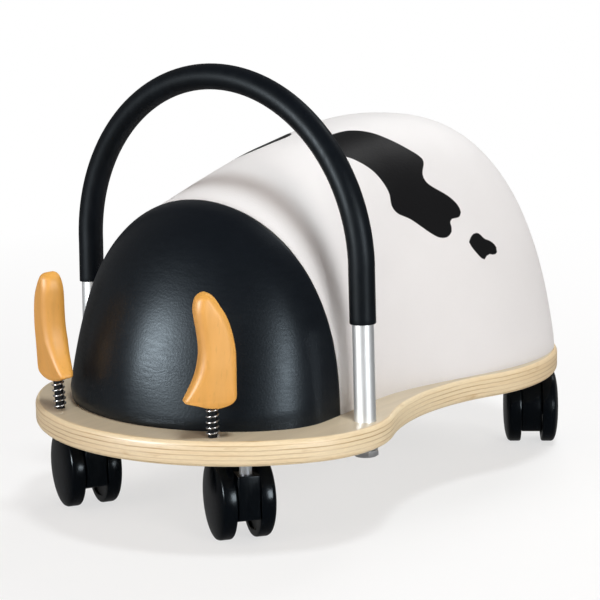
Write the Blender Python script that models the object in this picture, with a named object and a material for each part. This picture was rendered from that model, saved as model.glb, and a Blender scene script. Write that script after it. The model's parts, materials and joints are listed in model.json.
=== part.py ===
"""A small padded ride-on cow: a shaped plywood deck on four twin-wheel casters, an upholstered
body and head, a hoop handle with a grip, and two wooden horns on springs.

Metres, +Z up. The floor is z = 0 and the origin is under the middle of the deck. The cow looks
along -Y, so its left side is at +X.
"""

import math

import bmesh
import bpy
from mathutils import Matrix, Vector

# Clearance between pieces that touch, and the wider one of a hole round a fastener or a pin
TOUCH = 0.0003
HOLE_CLEARANCE = 0.0003

# Deck: a plate whose outline is made of tangent arcs
DECK_LENGTH = 0.4005
DECK_THICKNESS = 0.0150
DECK_UNDERSIDE = 0.0555
FRONT_WIDTH = 0.2430
REAR_WIDTH = 0.2256
EAR_SETBACK = 0.0984
EAR_RADIUS = 0.0704
WAIST_RADIUS = 0.1567
EDGE_ROUNDING = 0.0034

# Padded seat: base outline, crest height above the deck and section
NOSE_INSET = 0.0216
REAR_INSET = 0.0055
HEAD_MARGIN = 0.0289
HEAD_SETBACK = 0.0635
SEAM_SETBACK = 0.0891
SEAM_MARGIN = 0.0317
SEAM_LEAN = 0.0177
NECK_BACK = 0.0560
NECK_WIDTH = 0.1690
RUMP_MARGIN = 0.0057
SEAT_BACK = 0.1820
SEAM_HEIGHT = 0.1238
BACK_HEIGHT = 0.1501
CROWN_HEIGHT = 0.1614
RUMP_HEIGHT = 0.1574
SEAM_ARCH = (2.02, 2.97, 0.0)
NOSE_ARCH = (2.02, 2.97, 0.366)
BODY_ARCH = (2.46, 2.575, 0.1305)
COVER_THICKNESS = 0.0012
SEAT_BOARD_THICKNESS = 0.0090
SEAT_BOARD_MARGIN = 0.0034
SEAM_GAP = 0.0004

# Hoop handle
HANDLE_SETBACK = 0.1077
LEG_INSET = 0.01236
HOOP_CENTRE_RISE = 0.0887
LEG_SPLAY = math.radians(1.1)
TUBE_DIAMETER = 0.0128
TUBE_WALL = 0.0015
GRIP_THICKNESS = 0.0011
GRIP_END_RISE = 0.0577
GRIP_SHIFT = 0.0038
LEG_SOCKET_DEPTH = 0.0100
PLUG_LENGTH = 0.0220
BOLT_DIAMETER = 0.0060
BOLT_HEAD_DIAMETER = 0.0154
BOLT_HEAD_HEIGHT = 0.0038
BOLT_LENGTH = 0.0230
WASHER_DIAMETER = 0.0146
WASHER_THICKNESS = 0.0012

# Horns and the springs that they stand on
HORN_SPACING = 0.1206
HORN_SETBACK = 0.0277
HORN_TWISTS = {"left": math.radians(55.3), "right": math.radians(22.1)}
HORN_LEAN = math.radians(4.0)
HORN_THICKNESS = 0.0154
HORN_ROUNDING = 0.0040
HORN_HEIGHT = 0.0668
HORN_BORE_DEPTH = 0.0140
SPRING_GAP = 0.0178
SPRING_WIRE = 0.0011
SPRING_OUTSIDE = 0.0078
SPRING_TURNS = 5
POST_DIAMETER = 0.0048
POST_NUT_WIDTH = 0.0090
POST_NUT_HEIGHT = 0.0032
POST_TIP = 0.0008

# Twin-wheel casters
WHEEL_DIAMETER = 0.0500
WHEEL_INNER_FACE = 0.0071
WHEEL_TREAD_WIDTH = 0.0076
WHEEL_DOME_RISE = 0.0040
AXLE_DIAMETER = 0.0040
AXLE_REACH = 0.0138
CASTER_TRAIL = 0.0160
HOOD_RADIUS = 0.0215
HOOD_FLOOR_GAP = 0.0100
HOOD_TOP = 0.0433
HOOD_REACH = 0.0245
HOOD_CORNER = 0.0016
BOSS_FLOOR_GAP = 0.0168
SWIVEL_PIN_DIAMETER = 0.0074
SOCKET_DIAMETER = 0.0110
SOCKET_DEPTH = 0.0120
SOCKET_FLANGE_DIAMETER = 0.0190
SOCKET_FLANGE_THICKNESS = 0.0012
FRONT_CASTER_SPACING = 0.1226
FRONT_CASTER_SETBACK = 0.0552
REAR_CASTER_SPACING = 0.1248
REAR_CASTER_SETBACK = 0.0346
CASTER_HEADINGS = {
    "front_left": math.radians(-35.3),
    "front_right": math.radians(-29.7),
    "rear_left": math.radians(124.8),
    "rear_right": math.radians(129.0),
}

# Screws that hold the seat board down, from below
SCREW_DIAMETER = 0.0040
SCREW_HEAD_DIAMETER = 0.0085
SCREW_HEAD_HEIGHT = 0.0026
SCREW_BITE = 0.0070
HEAD_SCREW_SPACING = 0.0840
HEAD_SCREW_SETBACK = 0.0624
WAIST_SCREW_SPACING = 0.1040
WAIST_SCREW_SETBACK = 0.1484
RUMP_SCREW_SPACING = 0.1120
RUMP_SCREW_INSET = 0.1048

# Worked out from the sizes above
DECK_TOP = DECK_UNDERSIDE + DECK_THICKNESS
FRONT_Y = -DECK_LENGTH / 2
REAR_Y = DECK_LENGTH / 2
SEAT_NOSE_Y = FRONT_Y + NOSE_INSET
SEAT_TAIL_Y = REAR_Y - REAR_INSET
SEAM_Y = SEAT_NOSE_Y + SEAM_SETBACK
HEAD_WIDTH = FRONT_WIDTH - 2 * HEAD_MARGIN
SEAM_WIDTH = FRONT_WIDTH - 2 * SEAM_MARGIN
SEAT_WIDTH = REAR_WIDTH - 2 * RUMP_MARGIN
HANDLE_Y = FRONT_Y + HANDLE_SETBACK
LEG_X = FRONT_WIDTH / 2 - LEG_INSET
HOOP_RADIUS = (LEG_X - HOOP_CENTRE_RISE * math.tan(LEG_SPLAY)) * math.cos(LEG_SPLAY) / math.cos(2 * LEG_SPLAY)
HOOP_CENTRE_Z = DECK_TOP + HOOP_CENTRE_RISE
WHEEL_RADIUS = WHEEL_DIAMETER / 2
FOAM_INSET = COVER_THICKNESS + 4 * TOUCH
HORN_SOLE = SPRING_GAP + TOUCH

# Facets round a circle
ROUND = 24
SMALL_ROUND = 12


def material(name, colour, roughness, metallic=0.0):
    made = bpy.data.materials.new(name)
    made.use_nodes = True
    shader = made.node_tree.nodes["Principled BSDF"]
    shader.inputs["Base Color"].default_value = (*colour, 1.0)
    shader.inputs["Roughness"].default_value = roughness
    shader.inputs["Metallic"].default_value = metallic
    made.diffuse_color = (*colour, 1.0)
    return made


def add_object(name, mesh, look, parent=None, matrix=None):
    made = bpy.data.objects.new(name, mesh)
    if look:
        mesh.materials.clear()
        mesh.materials.append(look)
    bpy.context.scene.collection.objects.link(made)
    made.parent = parent
    if matrix is not None:
        made.matrix_local = matrix
    return made


def add_empty(name, matrix, parent=None):
    made = bpy.data.objects.new(name, None)
    made.empty_display_size = 0.02
    bpy.context.scene.collection.objects.link(made)
    made.parent = parent
    made.matrix_local = matrix
    return made


def finished(bm, name, smooth=True):
    bmesh.ops.recalc_face_normals(bm, faces=bm.faces)
    mesh = bpy.data.meshes.new(name)
    bm.to_mesh(mesh)
    bm.free()
    if smooth:
        mesh.shade_smooth()
        mesh.set_sharp_from_angle(angle=math.radians(35))
    return mesh


def lofted(name, rings, caps=True, closed=True, smooth=True):
    """Bridges rings of as many points each. A ring whose points coincide becomes one point."""
    bm = bmesh.new()
    rows = []
    for ring in rings:
        single = max((Vector(p) - Vector(ring[0])).length for p in ring) < 1e-7
        points = ring[:1] if single else ring
        rows.append([bm.verts.new(p) for p in points])
    for low, high in zip(rows, rows[1:]):
        count = max(len(low), len(high))
        for i in range(count if closed else count - 1):
            j = (i + 1) % count
            if len(low) == 1:
                bm.faces.new((low[0], high[j], high[i]))
            elif len(high) == 1:
                bm.faces.new((low[i], low[j], high[0]))
            else:
                bm.faces.new((low[i], low[j], high[j], high[i]))
    if caps:
        for row in (rows[0], rows[-1]):
            if len(row) > 2:
                bm.faces.new(row)
    return finished(bm, name, smooth)


def circle(radius, count=ROUND, height=0.0, phase=0.0):
    turns = [2 * math.pi * (i + phase) / count for i in range(count)]
    return [Vector((radius * math.cos(a), radius * math.sin(a), height)) for a in turns]


def turned(name, profile, count=ROUND, phase=0.0):
    """A solid turned about Z from (radius, height) pairs, closed by caps at its ends."""
    return lofted(name, [circle(r, count, z, phase) for r, z in profile])


def ring_solid(name, inner, outer, low, high, count=ROUND):
    """A washer or bush about Z."""
    corners = [(inner, low), (outer, low), (outer, high), (inner, high), (inner, low)]
    bm = bmesh.new()
    rows = [[bm.verts.new(p) for p in circle(r, count, z)] for r, z in corners[:4]]
    rows.append(rows[0])
    for low_row, high_row in zip(rows, rows[1:]):
        for i in range(count):
            j = (i + 1) % count
            bm.faces.new((low_row[i], low_row[j], high_row[j], high_row[i]))
    return finished(bm, name)


def prism(name, outline, low, high, smooth=True):
    rings = [[Vector((x, y, z)) for x, y in outline] for z in (low, high)]
    return lofted(name, rings, smooth=smooth)


def cut(target, cutter, name):
    """Cuts a mesh, hidden from the finished model, out of an object."""
    cutter.hide_render = True
    cutter.display_type = "WIRE"
    modifier = target.modifiers.new(name, "BOOLEAN")
    modifier.operation = "DIFFERENCE"
    modifier.solver = "EXACT"
    modifier.object = cutter
    return modifier


def merged(name, meshes):
    """One mesh of several, each moved by its matrix."""
    bm = bmesh.new()
    for mesh, matrix in meshes:
        part = mesh.copy()
        part.transform(matrix)
        bm.from_mesh(part)
        bpy.data.meshes.remove(part)
    joined = bpy.data.meshes.new(name)
    bm.to_mesh(joined)
    bm.free()
    return joined


def at(x=0.0, y=0.0, z=0.0):
    return Matrix.Translation((x, y, z))


def turn(angle, axis):
    return Matrix.Rotation(angle, 4, axis)


def through_points(xs, ys, x):
    """A smooth curve through the points that never overshoots them."""
    slopes = [(ys[i + 1] - ys[i]) / (xs[i + 1] - xs[i]) for i in range(len(xs) - 1)]
    tangents = [slopes[0]]
    for before, after in zip(slopes, slopes[1:]):
        same_way = before * after > 0
        tangents.append(2 * before * after / (before + after) if same_way else 0.0)
    tangents.append(slopes[-1])
    i = max(0, min(len(xs) - 2, sum(x > known for known in xs[1:])))
    step = xs[i + 1] - xs[i]
    t = (x - xs[i]) / step
    rise = (1 + 2 * t) * (1 - t) ** 2 * ys[i] + t * t * (3 - 2 * t) * ys[i + 1]
    return rise + step * (t * (1 - t) ** 2 * tangents[i] - t * t * (1 - t) * tangents[i + 1])


def arc(centre, radius, start, end, steps):
    angles = [start + (end - start) * i / steps for i in range(steps + 1)]
    return [(centre[0] + radius * math.cos(a), centre[1] + radius * math.sin(a)) for a in angles]


def deck_outline():
    """Nose, ear, waist and rear arcs, each tangent to the next, mirrored about x = 0."""
    rear_radius = REAR_WIDTH / 2
    ear = Vector((FRONT_WIDTH / 2 - EAR_RADIUS, FRONT_Y + EAR_SETBACK))
    nose_radius = (ear.x**2 + EAR_SETBACK**2 - EAR_RADIUS**2) / (2 * (EAR_SETBACK - EAR_RADIUS))
    nose = Vector((0.0, FRONT_Y + nose_radius))
    rear = Vector((0.0, REAR_Y - rear_radius))
    reach_ear, reach_rear = WAIST_RADIUS + EAR_RADIUS, WAIST_RADIUS + rear_radius
    between = rear - ear
    along = (reach_ear**2 - reach_rear**2 + between.length_squared) / (2 * between.length)
    aside = math.sqrt(reach_ear**2 - along**2)
    way = between.normalized()
    waist = ear + way * along + Vector((way.y, -way.x)) * aside
    nose_to_ear = math.atan2(ear.y - nose.y, ear.x - nose.x)
    ear_to_waist = math.atan2(waist.y - ear.y, waist.x - ear.x)
    rear_to_waist = math.atan2(waist.y - rear.y, waist.x - rear.x)
    half = arc(nose, nose_radius, -math.pi / 2, nose_to_ear, 7)
    half += arc(ear, EAR_RADIUS, nose_to_ear, ear_to_waist, 10)[1:]
    half += arc(waist, WAIST_RADIUS, math.pi + ear_to_waist, math.pi + rear_to_waist, 9)[1:]
    half += arc(rear, rear_radius, rear_to_waist, math.pi / 2, 12)[1:]
    return half + [(-x, y) for x, y in reversed(half[1:-1])]


def seat_half_width(y):
    """Half the width of the padded seat's base at y."""
    widest = SEAT_NOSE_Y + HEAD_SETBACK
    rear_centre = SEAT_NOSE_Y + SEAM_SETBACK + SEAT_BACK
    if y <= widest:
        share = min(1.0, (widest - y) / HEAD_SETBACK)
        return HEAD_WIDTH / 2 * (1 - share**1.88) ** (1 / 1.88)
    if y >= rear_centre:
        share = min(1.0, (y - rear_centre) / (SEAT_TAIL_Y - rear_centre))
        return SEAT_WIDTH / 2 * (1 - share**2.27) ** (1 / 2.27)
    stations = [widest, SEAM_Y, SEAM_Y + NECK_BACK, rear_centre]
    widths = [HEAD_WIDTH, SEAM_WIDTH, NECK_WIDTH, SEAT_WIDTH]
    return through_points(stations, widths, y) / 2


def arch_between(first, second, share):
    return [a + (b - a) * share for a, b in zip(first, second)]


def seat_ring(y, half_width, height, inset, shape, lean):
    """An arch over the deck at y, leaning forward towards its top. Its shape says how full it is
    across and upwards, and how much it narrows towards its top."""
    across, upwards, narrowing = shape
    steps = 24
    wide, tall = half_width - inset, height - inset
    ring = []
    for i in range(steps + 1):
        turned_by = math.pi * i / steps
        side, up = math.cos(turned_by), max(0.0, math.sin(turned_by))
        z = tall * up ** (2 / upwards)
        x = (wide - narrowing * z) * math.copysign(abs(side) ** (2 / across), side)
        forward = lean * SEAM_LEAN * (z / SEAM_HEIGHT) ** 1.6
        ring.append(Vector((x, y - forward, z)))
    return ring


def body_rings(inset, front_y):
    """Arches from the seam back over the crown and down to the tail."""
    rear_centre = SEAM_Y + SEAT_BACK
    stations = [SEAM_Y, SEAM_Y + 0.075, SEAM_Y + 0.155, rear_centre]
    heights = [SEAM_HEIGHT, BACK_HEIGHT, CROWN_HEIGHT, RUMP_HEIGHT]
    rings = []
    ahead = 9
    for i in range(ahead + 1):
        share = i / ahead
        y = front_y + (rear_centre - front_y) * share
        height = through_points(stations, heights, y)
        settled = min(1.0, share * 1.57)
        shape = arch_between(SEAM_ARCH, BODY_ARCH, settled * settled * (3 - 2 * settled))
        rings.append(seat_ring(y, seat_half_width(y), height, inset, shape, (1 - share) ** 1.5))
    behind = 7
    for i in range(1, behind + 1):
        turned_by = math.pi / 2 * i / behind
        if i == behind:
            turned_by -= 0.06
        y = rear_centre + (SEAT_TAIL_Y - inset - rear_centre) * math.sin(turned_by)
        height = RUMP_HEIGHT * math.cos(turned_by) ** (2 / 1.85)
        half_width = seat_half_width(y + inset * math.sin(turned_by))
        shrunk = min(inset, 0.4 * half_width, 0.4 * height)
        rings.append(seat_ring(y, half_width, height, shrunk, BODY_ARCH, 0.0))
    return rings


def head_rings(inset, back_y):
    """Arches from the seam forward to the nose."""
    rings = []
    ahead = 9
    for i in range(ahead + 1):
        turned_by = math.pi / 2 * i / ahead
        if i == ahead:
            turned_by -= 0.06
        share = math.sin(turned_by)
        y = back_y + (SEAT_NOSE_Y + inset - back_y) * share
        height = SEAM_HEIGHT * math.sqrt(1 - share**2)
        half_width = seat_half_width(y - inset * share)
        shrunk = min(inset, 0.4 * half_width, 0.4 * height)
        shape = arch_between(SEAM_ARCH, NOSE_ARCH, share)
        ring = seat_ring(y, half_width, height, shrunk, shape, 1 - share)
        rings.append(ring)
    return rings


def cover(name, rings, look):
    """A sheet over the arches, closed at its far end and open below, given its thickness inwards."""
    bm = bmesh.new()
    rows = [[bm.verts.new(p) for p in ring] for ring in rings]
    for near, far in zip(rows, rows[1:]):
        for i in range(len(near) - 1):
            bm.faces.new((near[i], near[i + 1], far[i + 1], far[i]))
    bm.faces.new(rows[-1])
    bmesh.ops.recalc_face_normals(bm, faces=bm.faces)
    bm.normal_update()
    middle = rows[len(rows) // 2][len(rows[0]) // 2]
    if middle.normal.z < 0:
        bmesh.ops.reverse_faces(bm, faces=bm.faces)
    mesh = bpy.data.meshes.new(name)
    bm.to_mesh(mesh)
    bm.free()
    mesh.shade_smooth()
    made = add_object(name, mesh, look, matrix=at(z=DECK_TOP + TOUCH))
    wall = made.modifiers.new("wall", "SOLIDIFY")
    wall.thickness = COVER_THICKNESS
    wall.offset = -1.0
    wall.use_even_offset = False
    return made


def deck_mesh():
    """The outline, extruded and rounded, with the bare nose ahead of the seat as a face of its own."""
    mesh = prism("deck", deck_outline(), 0.0, DECK_THICKNESS)
    bm = bmesh.new()
    bm.from_mesh(mesh)
    rims = [edge for edge in bm.edges if edge.calc_face_angle(0.0) > math.radians(60)]
    bmesh.ops.bevel(bm, geom=rims, offset=EDGE_ROUNDING, segments=2, profile=0.5, affect="EDGES")
    top = max(bm.faces, key=lambda face: face.calc_center_median().z)
    bare = sorted((v for v in top.verts if v.co.y < SEAT_NOSE_Y), key=lambda v: v.co.x)
    bmesh.utils.face_split(top, bare[0], bare[-1])
    bm.to_mesh(mesh)
    bm.free()
    return mesh


def build_deck(look):
    deck = add_object("deck", deck_mesh(), look, matrix=at(z=DECK_UNDERSIDE))
    cutter = add_object("deck_holes", merged("deck_holes", deck_holes()), None)
    cut(deck, cutter, "holes")
    return deck


def deck_holes():
    """Every hole through or into the deck, as (mesh, matrix)."""
    past = 0.002
    stepped = hole(BOLT_DIAMETER, -DECK_THICKNESS, 0.0) + hole(TUBE_DIAMETER, 0.0, LEG_SOCKET_DEPTH + past)
    leg = turned("leg_hole", stepped, SMALL_ROUND)
    socket = turned("socket_hole", hole(SOCKET_DIAMETER, -past, SOCKET_DEPTH + TOUCH), SMALL_ROUND)
    screw = turned("screw_hole", hole(SCREW_DIAMETER, -past, DECK_THICKNESS + past), SMALL_ROUND)
    recess = horn_nut_top() + TOUCH
    stepped = hole(POST_NUT_WIDTH, -2 * DECK_THICKNESS, recess) + hole(POST_DIAMETER, recess, 2 * past)
    post = turned("post_hole", stepped, SMALL_ROUND)
    found = []
    for side in (1, -1):
        foot = leg_point(side, DECK_TOP - LEG_SOCKET_DEPTH)
        tilt = turn(-side * LEG_SPLAY, "Y")
        found.append((leg, at(*foot) @ tilt))
        found.append((post, horn_frame(side)))
    for x, y in caster_places().values():
        found.append((socket, at(x, y, DECK_UNDERSIDE)))
    for x, y in screw_places().values():
        found.append((screw, at(x, y, DECK_UNDERSIDE)))
    return found


def hole(diameter, low, high):
    radius = diameter / 2 + HOLE_CLEARANCE
    return [(radius, low), (radius, high)]


def leg_point(side, height):
    """A point on the centre line of a straight leg of the handle."""
    end = Vector((HOOP_RADIUS * math.cos(LEG_SPLAY), 0, HOOP_CENTRE_Z - HOOP_RADIUS * math.sin(LEG_SPLAY)))
    x = end.x + (end.z - height) * math.tan(LEG_SPLAY)
    return Vector((side * x, HANDLE_Y, height))


def handle_stations(lowest, lowest_right=None):
    """Centre line of the hoop from the left leg to the right, with the direction along it."""
    stations = []
    steps = 22
    way = Vector((-math.sin(LEG_SPLAY), 0, math.cos(LEG_SPLAY)))
    stations.append((leg_point(1, lowest), way))
    for i in range(steps + 1):
        angle = -LEG_SPLAY + (math.pi + 2 * LEG_SPLAY) * i / steps
        out = Vector((math.cos(angle), 0, math.sin(angle)))
        centre = Vector((0, HANDLE_Y, HOOP_CENTRE_Z)) + out * HOOP_RADIUS
        stations.append((centre, Vector((-out.z, 0, out.x))))
    other_end = lowest if lowest_right is None else lowest_right
    stations.append((leg_point(-1, other_end), Vector((way.x, 0, -way.z))))
    return stations


def swept_tube(name, stations, inner, outer, count=SMALL_ROUND):
    """A tube with an open bore along the stations."""
    bm = bmesh.new()
    walls = []
    for radius in (outer, inner):
        rows = []
        for centre, way in stations:
            aside = Vector((0, 1, 0))
            up = way.cross(aside)
            turns = [2 * math.pi * (i + 0.5) / count for i in range(count)]
            points = [centre + (aside * math.cos(a) + up * math.sin(a)) * radius for a in turns]
            rows.append([bm.verts.new(p) for p in points])
        walls.append(rows)
    for rows in walls:
        for low, high in zip(rows, rows[1:]):
            for i in range(count):
                j = (i + 1) % count
                bm.faces.new((low[i], low[j], high[j], high[i]))
    for end in (0, -1):
        for i in range(count):
            j = (i + 1) % count
            outside, inside = walls[0][end], walls[1][end]
            bm.faces.new((outside[i], outside[j], inside[j], inside[i]))
    return finished(bm, name)


def build_handle(looks):
    tube_radius = TUBE_DIAMETER / 2
    foot = DECK_TOP - LEG_SOCKET_DEPTH + TOUCH
    tube = swept_tube("handle_tube", handle_stations(foot), tube_radius - TUBE_WALL, tube_radius)
    add_object("handle_tube", tube, looks["aluminium"])
    inside = tube_radius + TOUCH
    grip_end = DECK_TOP + GRIP_END_RISE
    way = handle_stations(grip_end, grip_end + GRIP_SHIFT)
    grip = swept_tube("handle_grip", way, inside, inside + GRIP_THICKNESS)
    add_object("handle_grip", grip, looks["grip"])
    bolt_radius = BOLT_DIAMETER / 2
    bore = tube_radius - TUBE_WALL
    plug_radius = bore * math.cos(math.pi / SMALL_ROUND) - TOUCH
    plug = ring_solid("handle_plug", bolt_radius + TOUCH, plug_radius, 0, PLUG_LENGTH, SMALL_ROUND)
    washer = ring_solid(
        "handle_washer", bolt_radius + TOUCH, WASHER_DIAMETER / 2, 0, WASHER_THICKNESS, SMALL_ROUND
    )
    bolt = bolt_mesh("handle_bolt", bolt_radius, BOLT_LENGTH, BOLT_HEAD_DIAMETER / 2, BOLT_HEAD_HEIGHT, 6)
    for side, word in ((1, "left"), (-1, "right")):
        tilt = turn(-side * LEG_SPLAY, "Y")
        frame = at(*leg_point(side, foot)) @ tilt
        add_object(f"handle_plug_{word}", plug.copy(), looks["steel"], matrix=frame)
        below = at(*leg_point(side, DECK_UNDERSIDE))
        washer_top = -TOUCH
        washer_low = washer_top - WASHER_THICKNESS
        add_object(f"handle_washer_{word}", washer.copy(), looks["steel"], matrix=below @ at(z=washer_low))
        seat = tilt @ at(z=washer_low - 2 * TOUCH)
        add_object(f"handle_bolt_{word}", bolt.copy(), looks["steel"], matrix=below @ seat)


def bolt_mesh(name, shank_radius, length, head_radius, head_height, head_sides=SMALL_ROUND):
    """A bolt whose head hangs below z = 0 and whose shank rises above it."""
    if head_sides == 6:
        head = [circle(head_radius, 6, z) for z in (-head_height, 0.0)]
        doubled = []
        for ring in head:
            points = []
            for i, corner in enumerate(ring):
                points.append(corner)
                points.append((corner + ring[(i + 1) % 6]) / 2)
            doubled.append(points)
        shank = [circle(shank_radius, SMALL_ROUND, z) for z in (0.0, length)]
        return lofted(name, doubled + shank)
    rounded = [
        (0.55 * head_radius, -head_height),
        (0.9 * head_radius, -0.6 * head_height),
        (head_radius, 0.0),
        (shank_radius, 0.0),
        (shank_radius, length),
    ]
    return turned(name, rounded, head_sides)


def horn_frame(side):
    """Origin where a horn's spring stands on the deck, local Z along the spring, local +X away
    from the hollow edge of the horn."""
    foot = at(side * HORN_SPACING / 2, FRONT_Y + HORN_SETBACK, DECK_TOP)
    heading = HORN_TWISTS["left"] if side > 0 else math.pi - HORN_TWISTS["right"]
    return foot @ turn(heading, "Z") @ turn(side * HORN_LEAN, "X")


def horn_mesh():
    """Slices across the horn, each from its hollow edge to its bulging edge."""
    hollow = [(-9.2, 2.9), (-16.1, 5.8), (-14.1, 9.8), (-11.0, 16.3), (-8.6, 24.0), (-7.6, 33.0)]
    hollow += [(-8.5, 43.0), (-10.0, 51.5), (-10.8, 57.5), (-10.2, 62.3), (-8.6, 64.8), (-6.2, 66.4)]
    bulge = [(9.8, 2.4), (12.5, 5.6), (13.1, 10.6), (13.2, 17.4), (13.3, 25.4), (12.8, 34.4)]
    bulge += [(10.7, 44.6), (7.6, 53.2), (4.0, 59.3), (1.2, 63.8), (-1.3, 65.8), (-3.8, 66.8)]
    thick = [0.80, 0.96, 1.0, 1.0, 1.0, 1.0, 1.0, 0.98, 0.92, 0.82, 0.66, 0.42]
    unit = HORN_HEIGHT / 66.8
    rings = []
    for (x0, z0), (x1, z1), part in zip(hollow, bulge, thick):
        near, far = Vector((x0, 0, z0)) * unit, Vector((x1, 0, z1)) * unit
        rings.append(slab_ring(near, far, HORN_THICKNESS * part / 2))
    sole = [Vector((x, 0, 0.0)) * unit for x in (-5.0, 7.0)]
    rings.insert(0, slab_ring(sole[0], sole[1], 0.3 * HORN_THICKNESS))
    return lofted("horn", rings)


def slab_ring(near, far, half_thickness):
    """A flat slice with rounded corners between two edges, seen along the horn."""
    length = (far - near).length
    way = (far - near).normalized()
    corner = min(HORN_ROUNDING, 0.45 * length, 0.8 * half_thickness)
    points = []
    for sign_x, sign_y, start in ((1, 1, 0), (-1, 1, 90), (-1, -1, 180), (1, -1, 270)):
        centre = (near + far) / 2 + way * sign_x * (length / 2 - corner)
        centre.y += sign_y * (half_thickness - corner)
        for step in (0, 30, 60, 90):
            angle = math.radians(start + step)
            points.append(centre + way * corner * math.cos(angle) + Vector((0, corner * math.sin(angle), 0)))
    return points


def horn_nut_top():
    """Height of a horn's nut in the horn's frame, low in the deck but nowhere below it."""
    underside = -DECK_THICKNESS / math.cos(HORN_LEAN) + POST_NUT_WIDTH / 2 * math.tan(HORN_LEAN)
    return underside + TOUCH + POST_TIP + POST_NUT_HEIGHT


def build_horns(looks):
    post_radius = POST_DIAMETER / 2
    post_top = HORN_SOLE + HORN_BORE_DEPTH - TOUCH
    nut_top = horn_nut_top()
    nut_low = nut_top - POST_NUT_HEIGHT
    tip = POST_TIP
    post = turned(
        "horn_post",
        [
            (0.7 * post_radius, nut_low - tip),
            (post_radius, nut_low),
            (post_radius, post_top - tip),
            (0.7 * post_radius, post_top),
        ],
        SMALL_ROUND,
    )
    nut = ring_solid("horn_nut", post_radius + TOUCH, POST_NUT_WIDTH / 2, nut_low, nut_top, SMALL_ROUND)
    horn = horn_mesh()
    bore = turned("horn_bore", hole(POST_DIAMETER, -0.002, HORN_BORE_DEPTH), SMALL_ROUND)
    for side, word in ((1, "left"), (-1, "right")):
        frame = horn_frame(side)
        joint_frame = add_empty(f"horn_axis_{word}", frame)
        up = at(z=HORN_SOLE)
        made = add_object(f"horn_{word}", horn.copy(), looks["horn"], joint_frame, up)
        cutter = add_object(f"horn_bore_{word}", bore.copy(), None, joint_frame, up)
        cut(made, cutter, "bore")
        add_object(f"horn_post_{word}", post.copy(), looks["rubber"], joint_frame)
        add_object(f"horn_nut_{word}", nut.copy(), looks["steel"], frame_parent(word, frame))
        spring_object(f"horn_spring_{word}", joint_frame, looks["steel"])


def frame_parent(word, frame):
    """The nut stays with the deck, so it has its own empty."""
    return add_empty(f"horn_anchor_{word}", frame)


def spring_points():
    """A helix between the deck and the horn, whose ends run straight for one wire diameter."""
    radius = (SPRING_OUTSIDE - SPRING_WIRE) / 2
    per_turn = 10
    low = TOUCH + SPRING_WIRE
    high = SPRING_GAP - SPRING_WIRE
    steps = SPRING_TURNS * per_turn
    points = [Vector((radius, 0, TOUCH))]
    for i in range(steps + 1):
        angle = 2 * math.pi * i / per_turn
        height = low + (high - low) * i / steps
        points.append(Vector((radius * math.cos(angle), radius * math.sin(angle), height)))
    points.append(Vector((radius, 0, SPRING_GAP)))
    return points, per_turn


def spring_object(name, parent, look):
    points, per_turn = spring_points()
    curve = bpy.data.curves.new(name, "CURVE")
    curve.dimensions = "3D"
    curve.bevel_depth = SPRING_WIRE / 2
    curve.bevel_resolution = 1
    curve.use_fill_caps = True
    spline = curve.splines.new("POLY")
    spline.points.add(len(points) - 1)
    for point, place in zip(spline.points, points):
        point.co = (*place, 1.0)
    curve.materials.append(look)
    made = bpy.data.objects.new(name, curve)
    bpy.context.scene.collection.objects.link(made)
    made.parent = parent
    apart = [
        (points[i] - points[j]).length
        for i in range(len(points))
        for j in range(i + per_turn // 2 + 1, len(points))
    ]
    print(f"{name}: least gap to itself {1000 * (min(apart) - SPRING_WIRE):.2f} mm")
    return made


def caster_places():
    front_y, rear_y = FRONT_Y + FRONT_CASTER_SETBACK, REAR_Y - REAR_CASTER_SETBACK
    return {
        "front_left": (FRONT_CASTER_SPACING / 2, front_y),
        "front_right": (-FRONT_CASTER_SPACING / 2, front_y),
        "rear_left": (REAR_CASTER_SPACING / 2, rear_y),
        "rear_right": (-REAR_CASTER_SPACING / 2, rear_y),
    }


def wheel_mesh():
    """One wheel about Z, its inner face low and its domed outer face high."""
    bore = AXLE_DIAMETER / 2 + TOUCH
    rim = WHEEL_RADIUS
    tread_end = WHEEL_INNER_FACE + WHEEL_TREAD_WIDTH
    profile = [
        (0.0, AXLE_REACH + TOUCH),
        (bore, AXLE_REACH + TOUCH),
        (bore, WHEEL_INNER_FACE),
        (0.24 * rim, WHEEL_INNER_FACE),
        (0.26 * rim, WHEEL_INNER_FACE + 0.0018),
        (0.80 * rim, WHEEL_INNER_FACE + 0.0018),
        (0.83 * rim, WHEEL_INNER_FACE),
        (0.97 * rim, WHEEL_INNER_FACE),
        (rim, WHEEL_INNER_FACE + 0.0008),
        (rim, tread_end - 0.0006),
        (0.965 * rim, tread_end + 0.32 * WHEEL_DOME_RISE),
        (0.86 * rim, tread_end + 0.60 * WHEEL_DOME_RISE),
        (0.50 * rim, tread_end + 0.92 * WHEEL_DOME_RISE),
        (0.0, tread_end + WHEEL_DOME_RISE),
    ]
    return turned("wheel", profile)


def hood_outline():
    """Side view of the hood about the axle, the swivel pin's boss to the +X side."""
    boss_radius = WHEEL_INNER_FACE - TOUCH
    front = HOOD_REACH
    back_low = HOOD_FLOOR_GAP - WHEEL_RADIUS
    boss_low = BOSS_FLOOR_GAP - WHEEL_RADIUS
    boss_high = HOOD_TOP - WHEEL_RADIUS
    start = math.acos((CASTER_TRAIL - boss_radius) / HOOD_RADIUS)
    end = math.pi - math.asin(back_low / HOOD_RADIUS)
    outline = [(front, boss_low), (front, boss_high), (CASTER_TRAIL - boss_radius, boss_high)]
    outline += arc((0.0, 0.0), HOOD_RADIUS, start, end, 12)
    return outline + [(0.2 * CASTER_TRAIL, back_low)]


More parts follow.
